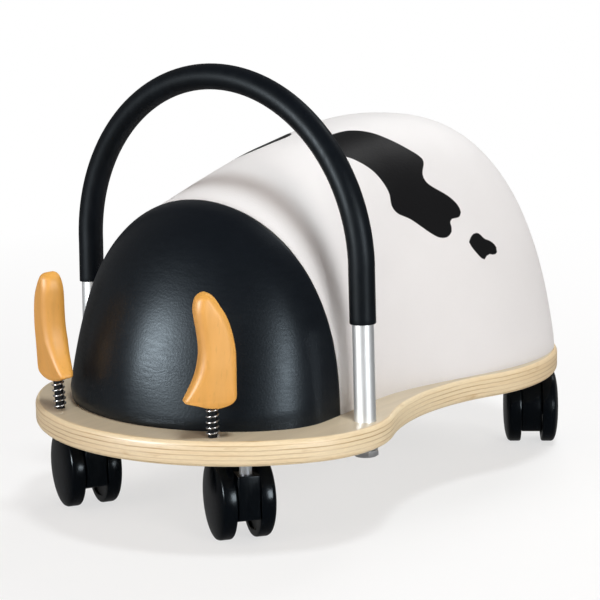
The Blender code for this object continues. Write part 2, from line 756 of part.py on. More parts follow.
def hood_mesh():
    """The hood's side view, as thick as the space between the wheels, its front corners rounded."""
    half = WHEEL_INNER_FACE - TOUCH
    outline = hood_outline()
    bm = bmesh.new()
    sides = [[bm.verts.new((x, y, z)) for x, z in outline] for y in (-half, half)]
    count = len(outline)
    for i in range(count):
        j = (i + 1) % count
        bm.faces.new((sides[0][i], sides[0][j], sides[1][j], sides[1][i]))
    bm.faces.new(sides[0])
    bm.faces.new(sides[1])
    front = max(x for x, z in outline)
    upright = [e for e in bm.edges if all(abs(v.co.x - front) < 1e-6 for v in e.verts)]
    upright = [e for e in upright if abs(e.verts[0].co.y - e.verts[1].co.y) < 1e-6]
    bmesh.ops.bevel(bm, geom=upright, offset=HOOD_CORNER, segments=2, profile=0.5, affect="EDGES")
    return finished(bm, "hood")


def build_casters(looks):
    wheel = wheel_mesh()
    hood = hood_mesh()
    axle_radius = AXLE_DIAMETER / 2
    axle = turned("axle", [(axle_radius, -AXLE_REACH), (axle_radius, AXLE_REACH)], SMALL_ROUND)
    socket = socket_mesh()
    pin_radius = SWIVEL_PIN_DIAMETER / 2
    pin_low, pin_high = BOSS_FLOOR_GAP + 0.006, DECK_UNDERSIDE + SOCKET_DEPTH - 0.002
    pin = turned("pin", [(pin_radius, pin_low), (pin_radius, pin_high)], SMALL_ROUND)
    pin_hole = turned("pin_hole", hole(SWIVEL_PIN_DIAMETER, pin_low - TOUCH, HOOD_TOP + 0.002), SMALL_ROUND)
    axle_hole = turned("axle_hole", hole(AXLE_DIAMETER, -0.01, 0.01), SMALL_ROUND)
    across = turn(math.pi / 2, "X")
    for word, (x, y) in caster_places().items():
        swivel = add_empty(f"caster_{word}_swivel", at(x, y) @ turn(CASTER_HEADINGS[word], "Z"))
        hub = add_empty(f"caster_{word}_hub", at(-CASTER_TRAIL, 0, WHEEL_RADIUS), swivel)
        add_object(f"caster_{word}_socket", socket.copy(), looks["steel"], matrix=at(x, y, DECK_UNDERSIDE))
        made = add_object(f"caster_{word}_hood", hood.copy(), looks["caster"], hub)
        add_object(f"caster_{word}_pin", pin.copy(), looks["steel"], swivel)
        add_object(f"caster_{word}_axle", axle.copy(), looks["steel"], hub, across)
        first = add_object(f"caster_{word}_pin_hole", pin_hole.copy(), None, swivel)
        second = add_object(f"caster_{word}_axle_hole", axle_hole.copy(), None, hub, across)
        cut(made, first, "pin hole")
        cut(made, second, "axle hole")
        rest = turn(math.pi / 2, "Z")
        outer = {"a": turn(math.pi / 2, "X") @ rest, "b": turn(-math.pi / 2, "X") @ rest}
        for letter, matrix in outer.items():
            add_object(f"caster_{word}_wheel_{letter}", wheel.copy(), looks["wheel"], hub, matrix)


def socket_mesh():
    """The socket pressed into the deck, with a flange that shows under it."""
    bore = SWIVEL_PIN_DIAMETER / 2 + TOUCH
    flange_top = -TOUCH
    profile = [
        (bore, flange_top - SOCKET_FLANGE_THICKNESS),
        (SOCKET_FLANGE_DIAMETER / 2, flange_top - SOCKET_FLANGE_THICKNESS),
        (SOCKET_FLANGE_DIAMETER / 2, flange_top),
        (SOCKET_DIAMETER / 2, flange_top),
        (SOCKET_DIAMETER / 2, SOCKET_DEPTH),
        (0.0, SOCKET_DEPTH),
        (0.0, SOCKET_DEPTH - 0.001),
        (bore, SOCKET_DEPTH - 0.001),
    ]
    bm = bmesh.new()
    rows = []
    for radius, height in profile:
        points = circle(radius, SMALL_ROUND, height) if radius else [Vector((0, 0, height))]
        rows.append([bm.verts.new(p) for p in points])
    rows.append(rows[0])
    for low, high in zip(rows, rows[1:]):
        if len(low) == 1 and len(high) == 1:
            continue
        for i in range(SMALL_ROUND):
            j = (i + 1) % SMALL_ROUND
            if len(low) == 1:
                bm.faces.new((low[0], high[j], high[i]))
            elif len(high) == 1:
                bm.faces.new((low[i], low[j], high[0]))
            else:
                bm.faces.new((low[i], low[j], high[j], high[i]))
    return finished(bm, "socket")


def build_seat(looks):
    rows = body_rings(0.0, SEAM_Y + SEAM_GAP / 2)
    cover("body_cover", rows, looks["white"])
    rows = head_rings(0.0, SEAM_Y - SEAM_GAP / 2)
    cover("head_cover", rows, looks["black"])
    board_low, board_top = DECK_TOP + TOUCH, DECK_TOP + TOUCH + SEAT_BOARD_THICKNESS
    outline = seat_board_outline(FOAM_INSET + SEAT_BOARD_MARGIN)
    board = add_object("seat_board", prism("seat_board", outline, board_low, board_top), looks["board"])
    bite = hole(SCREW_DIAMETER, DECK_TOP - 0.002, DECK_TOP + SCREW_BITE + 0.001)
    screw_hole = turned("pilot", bite, SMALL_ROUND)
    places = [(screw_hole, at(x, y)) for x, y in screw_places().values()]
    cut(board, add_object("seat_board_holes", merged("pilots", places), None), "pilot holes")
    build_foam(looks["foam"], board_top + TOUCH)
    screw = bolt_mesh(
        "screw",
        SCREW_DIAMETER / 2,
        DECK_THICKNESS + SCREW_BITE,
        SCREW_HEAD_DIAMETER / 2,
        SCREW_HEAD_HEIGHT,
    )
    for name, (x, y) in screw_places().items():
        add_object(name, screw.copy(), looks["steel"], matrix=at(x, y, DECK_UNDERSIDE - TOUCH))


def screw_places():
    """Pairs of screws under the head, at the waist and under the rump."""
    pairs = {
        "head": (HEAD_SCREW_SPACING, SEAT_NOSE_Y + HEAD_SCREW_SETBACK),
        "waist": (WAIST_SCREW_SPACING, SEAT_NOSE_Y + WAIST_SCREW_SETBACK),
        "rump": (RUMP_SCREW_SPACING, SEAT_TAIL_Y - RUMP_SCREW_INSET),
    }
    places = {}
    for pair, (spacing, y) in pairs.items():
        places[f"screw_{pair}_left"] = (spacing / 2, y)
        places[f"screw_{pair}_right"] = (-spacing / 2, y)
    return places


def seat_board_outline(inset):
    """The padded seat's base outline, drawn in by the inset all round."""
    steps = 30
    middle, reach = (SEAT_NOSE_Y + SEAT_TAIL_Y) / 2, (SEAT_TAIL_Y - SEAT_NOSE_Y) / 2
    ys = [middle - reach * math.cos(math.pi * i / steps) for i in range(steps + 1)]
    half = [Vector((seat_half_width(y), y)) for y in ys]
    drawn = []
    for i in range(1, steps):
        along = (half[i + 1] - half[i - 1]).normalized()
        drawn.append(half[i] + Vector((-along.y, along.x)) * inset)
    return drawn + [Vector((-point.x, point.y)) for point in reversed(drawn)]


def build_foam(look, low):
    """One block of foam that fills both covers, cut flat above the board."""
    body = body_rings(FOAM_INSET, SEAM_Y)
    head = head_rings(FOAM_INSET, SEAM_Y)
    rings = list(reversed(head[1:])) + body
    bm = bmesh.new()
    rows = [[bm.verts.new(p) for p in ring] for ring in rings]
    for near, far in zip(rows, rows[1:]):
        for i in range(len(near) - 1):
            bm.faces.new((near[i], near[i + 1], far[i + 1], far[i]))
        bm.faces.new((near[-1], near[0], far[0], far[-1]))
    bm.faces.new(rows[0])
    bm.faces.new(rows[-1])
    mesh = finished(bm, "seat_foam")
    foam = add_object("seat_foam", mesh, look, matrix=at(z=DECK_TOP + TOUCH))
    away = DECK_LENGTH
    square = [(-away, -away), (away, -away), (away, away), (-away, away)]
    cutter = add_object("foam_base_cut", prism("foam_base_cut", square, DECK_TOP - 0.05, low), None)
    cut(foam, cutter, "flat base")
    return foam


def main():
    for existing in list(bpy.data.objects):
        bpy.data.objects.remove(existing)
    looks = {
        "plywood": material("birch plywood", (0.78, 0.62, 0.42), 0.45),
        "board": material("seat board", (0.60, 0.45, 0.28), 0.7),
        "white": material("white leathercloth", (0.86, 0.84, 0.83), 0.5),
        "black": material("black leathercloth", (0.018, 0.02, 0.026), 0.42),
        "foam": material("foam", (0.85, 0.82, 0.62), 0.9),
        "aluminium": material("satin aluminium", (0.80, 0.81, 0.82), 0.3, 1.0),
        "grip": material("black grip", (0.015, 0.017, 0.022), 0.45),
        "horn": material("varnished beech", (0.86, 0.50, 0.17), 0.32),
        "steel": material("zinc-plated steel", (0.72, 0.73, 0.75), 0.3, 1.0),
        "rubber": material("black rubber", (0.012, 0.012, 0.014), 0.5),
        "caster": material("black nylon hood", (0.012, 0.014, 0.018), 0.25),
        "wheel": material("black nylon wheel", (0.010, 0.012, 0.016), 0.2),
    }
    build_deck(looks["plywood"])
    build_seat(looks)
    build_handle(looks)
    build_horns(looks)
    build_casters(looks)


main()
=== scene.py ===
"""A padded ride-on cow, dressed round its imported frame.

Run it as a script. Every piece has its own operator, and the sizes and colours that a user would
change are properties of the scene, listed in the 3D view's sidebar.
"""

import json
import math

import bmesh
import bpy
from mathutils import Matrix, Vector, noise


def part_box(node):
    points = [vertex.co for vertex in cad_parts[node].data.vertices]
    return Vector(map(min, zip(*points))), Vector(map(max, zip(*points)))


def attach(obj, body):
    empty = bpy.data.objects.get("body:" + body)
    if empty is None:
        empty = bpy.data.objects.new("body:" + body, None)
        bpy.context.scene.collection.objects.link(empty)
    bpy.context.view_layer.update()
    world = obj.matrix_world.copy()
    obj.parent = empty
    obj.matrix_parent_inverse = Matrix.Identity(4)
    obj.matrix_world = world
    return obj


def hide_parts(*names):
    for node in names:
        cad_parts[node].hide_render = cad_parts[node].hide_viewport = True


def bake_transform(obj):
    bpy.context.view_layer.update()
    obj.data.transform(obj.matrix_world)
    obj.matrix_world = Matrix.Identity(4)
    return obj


bl_info = {
    "name": "Ride-on cow",
    "version": (1, 0, 0),
    "blender": (4, 5, 0),
    "location": "3D View > Sidebar > Ride-on cow",
    "description": "Builds a padded ride-on cow on a plywood deck, piece by piece",
    "category": "Object",
}

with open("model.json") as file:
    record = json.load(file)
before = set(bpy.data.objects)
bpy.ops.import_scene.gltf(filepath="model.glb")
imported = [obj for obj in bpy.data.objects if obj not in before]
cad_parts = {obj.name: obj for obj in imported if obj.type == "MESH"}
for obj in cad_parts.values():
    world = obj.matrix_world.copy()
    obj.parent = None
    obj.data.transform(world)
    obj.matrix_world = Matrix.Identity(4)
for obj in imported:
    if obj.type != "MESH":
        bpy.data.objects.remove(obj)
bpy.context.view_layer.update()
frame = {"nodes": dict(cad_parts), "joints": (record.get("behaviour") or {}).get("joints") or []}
DECK_LOW, DECK_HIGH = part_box("deck")
JOINTS = {joint["name"]: joint for joint in frame["joints"]}
SIDES = {"left": 1, "right": -1}
CASTERS = ("front_left", "front_right", "rear_left", "rear_right")


def length(name, description, default, low=0.0, high=1.0):
    return bpy.props.FloatProperty(
        name=name, description=description, default=default, min=low, max=high,
        subtype="DISTANCE", unit="LENGTH", precision=4,
    )


def angle(name, description, degrees):
    return bpy.props.FloatProperty(
        name=name, description=description, default=math.radians(degrees), subtype="ANGLE",
        unit="ROTATION",
    )


def colour(name, description, default):
    return bpy.props.FloatVectorProperty(
        name=name, description=description, default=default, size=3, min=0.0, max=1.0,
        subtype="COLOR",
    )


class CowSizes(bpy.types.PropertyGroup):
    """Sizes of the pieces, in metres."""

    deck_rounding: length("Deck rounding", "Radius of the plywood's rounded edges", 0.0034)
    ear_radius: length("Ear radius", "Radius of the deck's front corners", 0.0704)
    ear_setback: length("Ear setback", "From the deck's nose back to those corners' centres", 0.0984)
    waist_radius: length("Waist radius", "Radius of the deck's hollow sides", 0.1567)
    rear_width: length("Rear width", "Width of the deck at its rear", 0.2256)
    nose_inset: length("Nose inset", "From the deck's nose back to the head's", 0.0216)
    rear_inset: length("Rear inset", "From the deck's rear forward to the body's", 0.0055)
    head_width: length("Head width", "Widest part of the head", 0.1852)
    head_setback: length("Head setback", "From the nose to the widest part of the head", 0.0635)
    seam_setback: length("Seam setback", "From the nose to the seam", 0.0891)
    seam_width: length("Seam width", "Width of the padding at the seam", 0.1796)
    seam_lean: length("Seam lean", "How far the seam leans forward at its top", 0.0177)
    neck_back: length("Neck setback", "From the seam to the narrowest part", 0.0560)
    neck_width: length("Neck width", "Width of the narrowest part", 0.1690)
    seat_width: length("Seat width", "Width of the body at the rear", 0.2142)
    seat_back: length("Seat back", "From the seam to the widest part of the body", 0.1820)
    seam_height: length("Seam height", "Height of the padding at the seam", 0.1238)
    back_height: length("Back height", "Height of the padding behind the handle", 0.1499)
    crown_height: length("Crown height", "Height of the padding at its crown", 0.1608)
    crown_back: length("Crown setback", "From the seam to the crown", 0.1535)
    cloth_thickness: length("Cloth thickness", "Thickness of the leathercloth", 0.0012)
    base_tuck: length("Base tuck", "How far the head's cloth turns in where it meets the deck", 0.0022)
    base_turn: length("Base turn", "Height over which the cloths turn in", 0.0085)
    seam_tuck: length("Seam tuck", "How far both cloths turn in at the seam", 0.0011)
    hoop_radius: length("Hoop radius", "Radius of the handle's bend", 0.1075)
    hoop_rise: length("Hoop rise", "Height of the bend's centre over the deck", 0.0887)
    handle_setback: length("Handle setback", "From the deck's nose to the handle", 0.1077)
    tube_diameter: length("Tube diameter", "Diameter of the handle's tube", 0.0128)
    grip_thickness: length("Grip thickness", "Thickness of the grip's wall", 0.0012)
    grip_rise: length("Grip rise", "Height of the grip's left end over the deck", 0.0577)
    grip_shift: length("Grip shift", "How much higher its right end is", 0.0038)
    horn_spacing: length("Horn spacing", "Between the feet of the horns", 0.1206)
    horn_setback: length("Horn setback", "From the deck's nose to the horns", 0.0277)
    left_horn_turn: angle("Left horn turn", "Turn of the left horn on its spring", 55.3)
    right_horn_turn: angle("Right horn turn", "Turn of the right horn on its spring", 22.1)
    horn_lean: angle("Horn lean", "Lean of the springs", 4.0)
    horn_thickness: length("Horn thickness", "Thickness of the horns' board", 0.0154)
    horn_height: length("Horn height", "Height of a horn over its spring", 0.0668)
    spring_gap: length("Spring length", "Length of a horn's spring that shows", 0.0178)
    spring_outside: length("Spring diameter", "Outside diameter of the springs", 0.0078)
    spring_wire: length("Spring wire", "Diameter of the springs' wire", 0.0010)
    wheel_diameter: length("Wheel diameter", "Diameter of the casters' wheels", 0.0500)
    caster_trail: length("Caster trail", "From the swivel pin's axis to the axle's", 0.0160)
    hood_reach: length("Hood reach", "From the axle to the front of the hood", 0.0245)
    hood_top: length("Hood top", "Height of the hood over the floor", 0.0433)


class CowColours(bpy.types.PropertyGroup):
    """Colours of the finishes."""

    white_cloth: colour("White cloth", "Leathercloth of the body", (0.83, 0.82, 0.82))
    black_cloth: colour("Black cloth", "Leathercloth of the head", (0.0030, 0.0042, 0.0066))
    patch: colour("Patches", "Patches on the body", (0.0030, 0.0030, 0.0038))
    veneer: colour("Veneer", "Top and bottom of the plywood", (0.60, 0.505, 0.36))
    ply: colour("Plies", "Light plies in the deck's edge", (0.86, 0.72, 0.48))
    glue_line: colour("Glue lines", "Darker plies in the deck's edge", (0.46, 0.29, 0.11))
    horn: colour("Horns", "Varnished wood of the horns", (0.85, 0.42, 0.078))
    aluminium: colour("Aluminium", "Tube of the handle", (0.76, 0.79, 0.81))
    steel: colour("Steel", "Springs, bolts, nuts and screws", (0.66, 0.67, 0.69))
    grip: colour("Grip", "Handle's grip", (0.0024, 0.0036, 0.0058))
    nylon: colour("Nylon", "Wheels and hoods of the casters", (0.0016, 0.0026, 0.0044))
    core: colour("Cores", "Rubber cores of the springs", (0.008, 0.008, 0.009))
    floor: colour("Floor", "Floor and backdrop", (0.86, 0.86, 0.86))


def sizes():
    return bpy.context.scene.cow_sizes


def colours():
    return bpy.context.scene.cow_colours


# Selection and drawing

MERGE = 1e-6


def nothing_selected():
    if bpy.context.object and bpy.context.object.mode != "OBJECT":
        bpy.ops.object.mode_set(mode="OBJECT")
    bpy.ops.object.select_all(action="DESELECT")


def only(piece):
    nothing_selected()
    piece.select_set(True)
    bpy.context.view_layer.objects.active = piece


def edit(piece, everything=True):
    """Opens a piece in edit mode, with all of it or nothing selected."""
    only(piece)
    bpy.ops.object.mode_set(mode="EDIT")
    bpy.ops.mesh.select_mode(type="VERT")
    bpy.ops.mesh.select_all(action="SELECT" if everything else "DESELECT")


def edit_edges(piece, test):
    """Opens a piece in edit mode, with the edges whose two ends pass the test selected."""
    only(piece)
    bpy.ops.object.mode_set(mode="EDIT")
    bpy.ops.mesh.select_mode(type="EDGE")
    bpy.ops.mesh.select_all(action="DESELECT")
    bpy.ops.object.mode_set(mode="OBJECT")
    points = piece.data.vertices
    for edge in piece.data.edges:
        edge.select = bool(test(*(points[i].co for i in edge.vertices)))
    bpy.ops.object.mode_set(mode="EDIT")


def named(name):
    made = bpy.context.object
    made.name = made.data.name = name
    return made


def first_point(name, point):
    """A mesh of one vertex, open in edit mode and selected."""
    nothing_selected()
    # A lone vertex can't be selected while edges are the mode, and nothing is drawn then.
    bpy.context.tool_settings.mesh_select_mode = (True, False, False)
    bpy.ops.mesh.primitive_plane_add(size=0.001, location=point)
    made = named(name)
    bpy.ops.object.transform_apply(location=True, rotation=True, scale=True)
    bpy.ops.object.mode_set(mode="EDIT")
    bpy.ops.mesh.merge(type="CENTER")
    return made


def draw_to(step):
    bpy.ops.mesh.extrude_region_move(TRANSFORM_OT_translate={"value": step})


def drawn(name, points):
    """A line drawn from point to point, left open in edit mode with its last point selected."""
    made = first_point(name, points[0])
    for here, there in zip(points, points[1:]):
        draw_to(Vector(there) - Vector(here))
    return made


def solid(made, merge=0.0):
    """Merges points that meet, turns the faces outwards and leaves edit mode."""
    bpy.ops.mesh.select_all(action="SELECT")
    if merge:
        bpy.ops.mesh.remove_doubles(threshold=merge)
    bpy.ops.mesh.normals_make_consistent(inside=False)
    bpy.ops.object.mode_set(mode="OBJECT")
    return made


def turned(name, profile, steps):
    """A solid turned about Z from (radius, height) pairs whose ends lie on the axis or meet."""
    made = drawn(name, [Vector((r, 0.0, z)) for r, z in profile])
    bpy.ops.mesh.select_all(action="SELECT")
    bpy.ops.mesh.spin(steps=steps, angle=2 * math.pi, center=(0, 0, 0), axis=(0, 0, 1))
    return solid(made, MERGE)


def extruded(name, outline, along):
    """A face inside a closed line of points, extruded."""
    made = drawn(name, outline)
    bpy.ops.mesh.select_all(action="SELECT")
    bpy.ops.mesh.edge_face_add()
    draw_to(along)
    return solid(made)


def cylinder(name, sides, radius, low, high):
    nothing_selected()
    bpy.ops.mesh.primitive_cylinder_add(
        vertices=sides, radius=radius, depth=high - low, location=(0, 0, (low + high) / 2)
    )
    made = named(name)
    bpy.ops.object.transform_apply(location=True, rotation=True, scale=True)
    return made


def apply_modifier(piece, kind, **settings):
    only(piece)
    modifier = piece.modifiers.new(kind.lower(), kind)
    for key, value in settings.items():
        setattr(modifier, key, value)
    bpy.ops.object.modifier_apply(modifier=modifier.name)
    return piece


def smooth(piece, angle=35):
    only(piece)
    bpy.ops.object.shade_smooth_by_angle(angle=math.radians(angle))
    return piece


def placed(piece, matrix):
    """Moves a piece's mesh, so that its object stays at the origin."""
    piece.data.transform(matrix)
    piece.data.update()
    return piece


def copied(piece, name, matrix):
    """A copy with its own mesh, in another place."""
    made = piece.copy()
    made.data = piece.data.copy()
    made.name = made.data.name = name
    bpy.context.scene.collection.objects.link(made)
    return placed(made, matrix)


def removed(*pieces):
    for piece in pieces:
        bpy.data.objects.remove(piece)


def cut_out(piece, cutter):
    apply_modifier(piece, "BOOLEAN", operation="DIFFERENCE", solver="EXACT", object=cutter)
    removed(cutter)
    return piece


def lofted(name, rings, closed=True):
    """Bridges rings of points. Where they aren't closed they are arches, and their ends stay open."""
    bm = bmesh.new()
    rows = [[bm.verts.new(point) for point in ring] for ring in rings]
    for near, far in zip(rows, rows[1:]):
        count = len(near)
        for i in range(count if closed else count - 1):
            j = (i + 1) % count
            bm.faces.new((near[i], near[j], far[j], far[i]))
    if closed:
        bm.faces.new(rows[0])
        bm.faces.new(rows[-1])
    bmesh.ops.recalc_face_normals(bm, faces=bm.faces)
    mesh = bpy.data.meshes.new(name)
    bm.to_mesh(mesh)
    bm.free()
    made = bpy.data.objects.new(name, mesh)
    bpy.context.scene.collection.objects.link(made)
    return made


def dressed(piece, body, material, slot, *nodes):
    """Gives a finished piece its material and body, and hides the imported nodes that it stands for. The slot
    is not used.
    """
    if not piece.data.polygons:
        raise RuntimeError(f"{piece.name} has no faces")
    piece.data.materials.clear()
    piece.data.materials.append(material)
    if body:
        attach(piece, body)
    if nodes:
        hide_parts(*nodes)
    return piece


# Materials


class Nodes:
    """Adds and links the nodes of one material or world."""

    def __init__(self, name, world=False):
        self.made = bpy.data.worlds.new(name) if world else bpy.data.materials.new(name)
        self.made.use_nodes = True
        self.tree = self.made.node_tree
        self.shader = self.tree.nodes["Background" if world else "Principled BSDF"]

    def add(self, kind, **inputs):
        node = self.tree.nodes.new(kind)
        for key, value in inputs.items():
            if hasattr(node, key) and key not in node.inputs:
                setattr(node, key, value)
            else:
                self.feed(node.inputs[key.replace("_", " ")], value)
        return node

    def feed(self, socket, value):
        if isinstance(value, bpy.types.NodeSocket):
            self.tree.links.new(value, socket)
        else:
            socket.default_value = value

    def set(self, **inputs):
        for key, value in inputs.items():
            self.feed(self.shader.inputs[key.replace("_", " ")], value)
        return self

    def place(self, scale=(1, 1, 1), location=(0, 0, 0)):
        """Object coordinates, stretched and moved."""
        coordinates = self.add("ShaderNodeTexCoord").outputs["Object"]
        mapping = self.add("ShaderNodeMapping", Vector=coordinates)
        mapping.inputs["Scale"].default_value = scale
        mapping.inputs["Location"].default_value = location
        return mapping.outputs["Vector"]

    def noise(self, vector, scale, detail=4.0, roughness=0.55, distortion=0.0):
        node = self.add("ShaderNodeTexNoise", Vector=vector, Scale=scale, Detail=detail)
        node.inputs["Roughness"].default_value = roughness
        node.inputs["Distortion"].default_value = distortion
        return node.outputs["Fac"]

    def ramp(self, value, stops):
        node = self.add("ShaderNodeValToRGB", Fac=value)
        elements = node.color_ramp.elements
        while len(elements) < len(stops):
            elements.new(0.5)
        for element, (position, tint) in zip(elements, stops):
            element.position = position
            element.color = (*tint, 1.0)
        return node.outputs["Color"]

    def range(self, value, low, high, to_low=0.0, to_high=1.0):
        node = self.add("ShaderNodeMapRange", Value=value)
        ends = {"From Min": low, "From Max": high, "To Min": to_low, "To Max": to_high}
        for key, number in ends.items():
            node.inputs[key].default_value = number
        return node.outputs["Result"]

    def maths(self, operation, first, second=0.0):
        node = self.tree.nodes.new("ShaderNodeMath")
        node.operation = operation
        self.feed(node.inputs[0], first)
        self.feed(node.inputs[1], second)
        return node.outputs["Value"]

    def mix(self, factor, first, second):
        """A mix of two colours, each an output or red, green and blue."""
        node = self.tree.nodes.new("ShaderNodeMix")
        node.data_type = "RGBA"
        self.feed(node.inputs["Factor"], factor)
        for socket, value in zip(node.inputs[6:8], (first, second)):
            self.feed(socket, (*value, 1.0) if isinstance(value, tuple) else value)
        return node.outputs[2]

    def mottled(self, value, low, high, tint, dark, light):
        """A colour that goes from a darker to a lighter shade as the value rises."""
        return self.mix(self.range(value, low, high), shade(tint, dark), shade(tint, light))

    def bump(self, height, strength, distance, after=None):
        node = self.add("ShaderNodeBump", Height=height, Strength=strength, Distance=distance)
        if after is not None:
            self.feed(node.inputs["Normal"], after)
        return node.outputs["Normal"]


def shade(tint, factor):
    return tuple(min(1.0, channel * factor) for channel in tint)


FINISHES = {}


def finish(name, make):
    """One material for every piece of that finish."""
    if name not in FINISHES:
        FINISHES[name] = make(name)
    return FINISHES[name]


CLOTH_ROUGHNESS = 0.5
PATCH_ROUGHNESS = 0.44
PATCH_BLUR = 0.00025


def white_cloth(name):
    """Fine grained white leathercloth. The patch attribute says where it is black."""
    nodes = Nodes(name)
    place = nodes.place()
    grain = nodes.add("ShaderNodeTexVoronoi", feature="SMOOTH_F1", Vector=place, Scale=900.0)
    creases = nodes.noise(nodes.place(scale=(1, 1, 3.2)), 260.0, detail=3.0)
    cloud = nodes.noise(place, 9.0, detail=3.0)
    white = nodes.mottled(cloud, 0.3, 0.7, colours().white_cloth, 0.965, 1.02)
    inside = nodes.add("ShaderNodeAttribute", attribute_name="patch").outputs["Fac"]
    edge = nodes.range(inside, -PATCH_BLUR, PATCH_BLUR)
    tinted = nodes.mix(edge, white, tuple(colours().patch))
    rough = nodes.range(edge, 0.0, 1.0, CLOTH_ROUGHNESS, PATCH_ROUGHNESS)
    fine = nodes.bump(grain.outputs["Distance"], 0.16, 0.0003)
    normal = nodes.bump(creases, 0.10, 0.0006, fine)
    return nodes.set(Base_Color=tinted, Roughness=rough, Normal=normal, Specular_IOR_Level=0.25).made


CREASED_PLACE = (0.020, -0.172, 0.103)
CREASED_FROM, CREASED_TO = 0.006, 0.022


def black_cloth(name):
    """Black leathercloth, smooth but for fine creases where a rider's shin rubs its front."""
    nodes = Nodes(name)
    place = nodes.place()
    cloud = nodes.noise(place, 12.0, detail=4.0)
    upright = nodes.place(scale=(1, 1, 6))
    streaks = nodes.noise(upright, 110.0, detail=5.0, roughness=0.65, distortion=0.3)
    grain = nodes.add("ShaderNodeTexVoronoi", feature="SMOOTH_F1", Vector=place, Scale=850.0)
    tinted = nodes.mottled(cloud, 0.35, 0.7, colours().black_cloth, 0.9, 1.25)
    rough = nodes.range(streaks, 0.3, 0.7, 0.35, 0.43)
    away = nodes.add("ShaderNodeVectorMath", operation="DISTANCE")
    nodes.feed(away.inputs[0], place)
    nodes.feed(away.inputs[1], CREASED_PLACE)
    near = nodes.range(away.outputs["Value"], CREASED_FROM, CREASED_TO, 1.0, 0.0)
    creases = nodes.noise(nodes.place(scale=(1, 1, 3)), 260.0, detail=4.0, roughness=0.6, distortion=0.6)
    fine = nodes.bump(grain.outputs["Distance"], 0.14, 0.0003)
    brushed = nodes.bump(streaks, 0.03, 0.0010, fine)
    normal = nodes.bump(nodes.maths("MULTIPLY", creases, near), 0.16, 0.0010, brushed)
    nodes.set(Specular_IOR_Level=0.26, Specular_Tint=(0.74, 0.89, 1.0, 1.0))
    return nodes.set(Base_Color=tinted, Roughness=rough, Normal=normal).made


PLIES = 5.5
GLUE_BAND = (
    (0.0, (0, 0, 0)), (0.36, (0, 0, 0)), (0.46, (1, 1, 1)), (0.60, (0.8, 0.8, 0.8)), (0.70, (0, 0, 0)),
    (1.0, (0, 0, 0)),
)
# Painted shade: the darker, more orange ply colour that the edge takes on towards the rear
SHADED_REAR_PLY = (0.66, 0.43, 0.20)
WARM_PLY = (0.76, 0.55, 0.30)


def plywood(name):
    """Veneer on the flat faces and plies with thin dark glue lines round the edge, and painted shade that
    darkens the edge towards the rear.
    """
    nodes = Nodes(name)
    tints = colours()
    normal = nodes.add("ShaderNodeNewGeometry").outputs["Normal"]
    upright = nodes.add("ShaderNodeSeparateXYZ", Vector=normal).outputs["Z"]
    flat = nodes.range(nodes.maths("ABSOLUTE", upright), 0.93, 0.985)
    place = nodes.place()
    height = nodes.add("ShaderNodeSeparateXYZ", Vector=place).outputs["Z"]
    wander = nodes.noise(nodes.place(scale=(1, 1, 0.2)), 22.0, detail=3.0)
    wavy = nodes.maths("ADD", height, nodes.range(wander, 0.3, 0.7, -0.00035, 0.00035))
    rows = nodes.maths("DIVIDE", nodes.maths("SUBTRACT", wavy, DECK_LOW.z), DECK_HIGH.z - DECK_LOW.z)
    ply_place = nodes.maths("MULTIPLY", rows, PLIES)
    within = nodes.maths("FRACT", ply_place)
    fade = nodes.noise(nodes.place(scale=(1, 1, 8)), 16.0, detail=3.0)
    band = nodes.ramp(within, GLUE_BAND)
    dark = nodes.maths("MULTIPLY", band, nodes.range(fade, 0.36, 0.62, 0.18, 0.95))
    fibre = nodes.noise(nodes.place(scale=(1, 1, 9)), 240.0, detail=4.0)
    light = nodes.mottled(fibre, 0.35, 0.65, tints.ply, 0.94, 1.04)
    edge = nodes.mix(dark, light, tuple(tints.glue_line))
    knots = nodes.noise(nodes.place(scale=(1, 1, 5), location=(0.3, 0.1, 0)), 34.0, detail=3.0)
    edge = nodes.mix(nodes.range(knots, 0.64, 0.74, 0.0, 0.55), edge, shade(tints.glue_line, 1.15))
    # Painted shade: towards the rear the edge is mixed up to 45% into a darker, more orange colour
    along = nodes.add("ShaderNodeSeparateXYZ", Vector=place).outputs["Y"]
    edge = nodes.mix(nodes.range(along, 0.0, DECK_HIGH.y, 0.0, 0.45), edge, SHADED_REAR_PLY)
    layers = nodes.noise(nodes.place(scale=(1, 1, 14)), 30.0, detail=3.0)
    edge = nodes.mix(nodes.range(layers, 0.5, 0.75, 0.0, 0.4), edge, WARM_PLY)
    grain = nodes.noise(nodes.place(scale=(1, 0.08, 1)), 210.0, detail=6.0, roughness=0.6)
    broad = nodes.noise(nodes.place(scale=(1, 0.16, 1)), 22.0, detail=3.0, distortion=0.8)
    veneer = nodes.mottled(grain, 0.3, 0.7, tints.veneer, 0.93, 1.05)
    veneer = nodes.mix(nodes.range(broad, 0.35, 0.7, 0.0, 0.35), veneer, shade(tints.veneer, 0.84))
    tinted = nodes.mix(flat, edge, veneer)
    fine = nodes.bump(grain, 0.06, 0.0004)
    nodes.set(Base_Color=tinted, Normal=fine, Roughness=nodes.range(flat, 0.0, 1.0, 0.42, 0.36))
    return nodes.set(Coat_Weight=0.15, Coat_Roughness=0.35).made


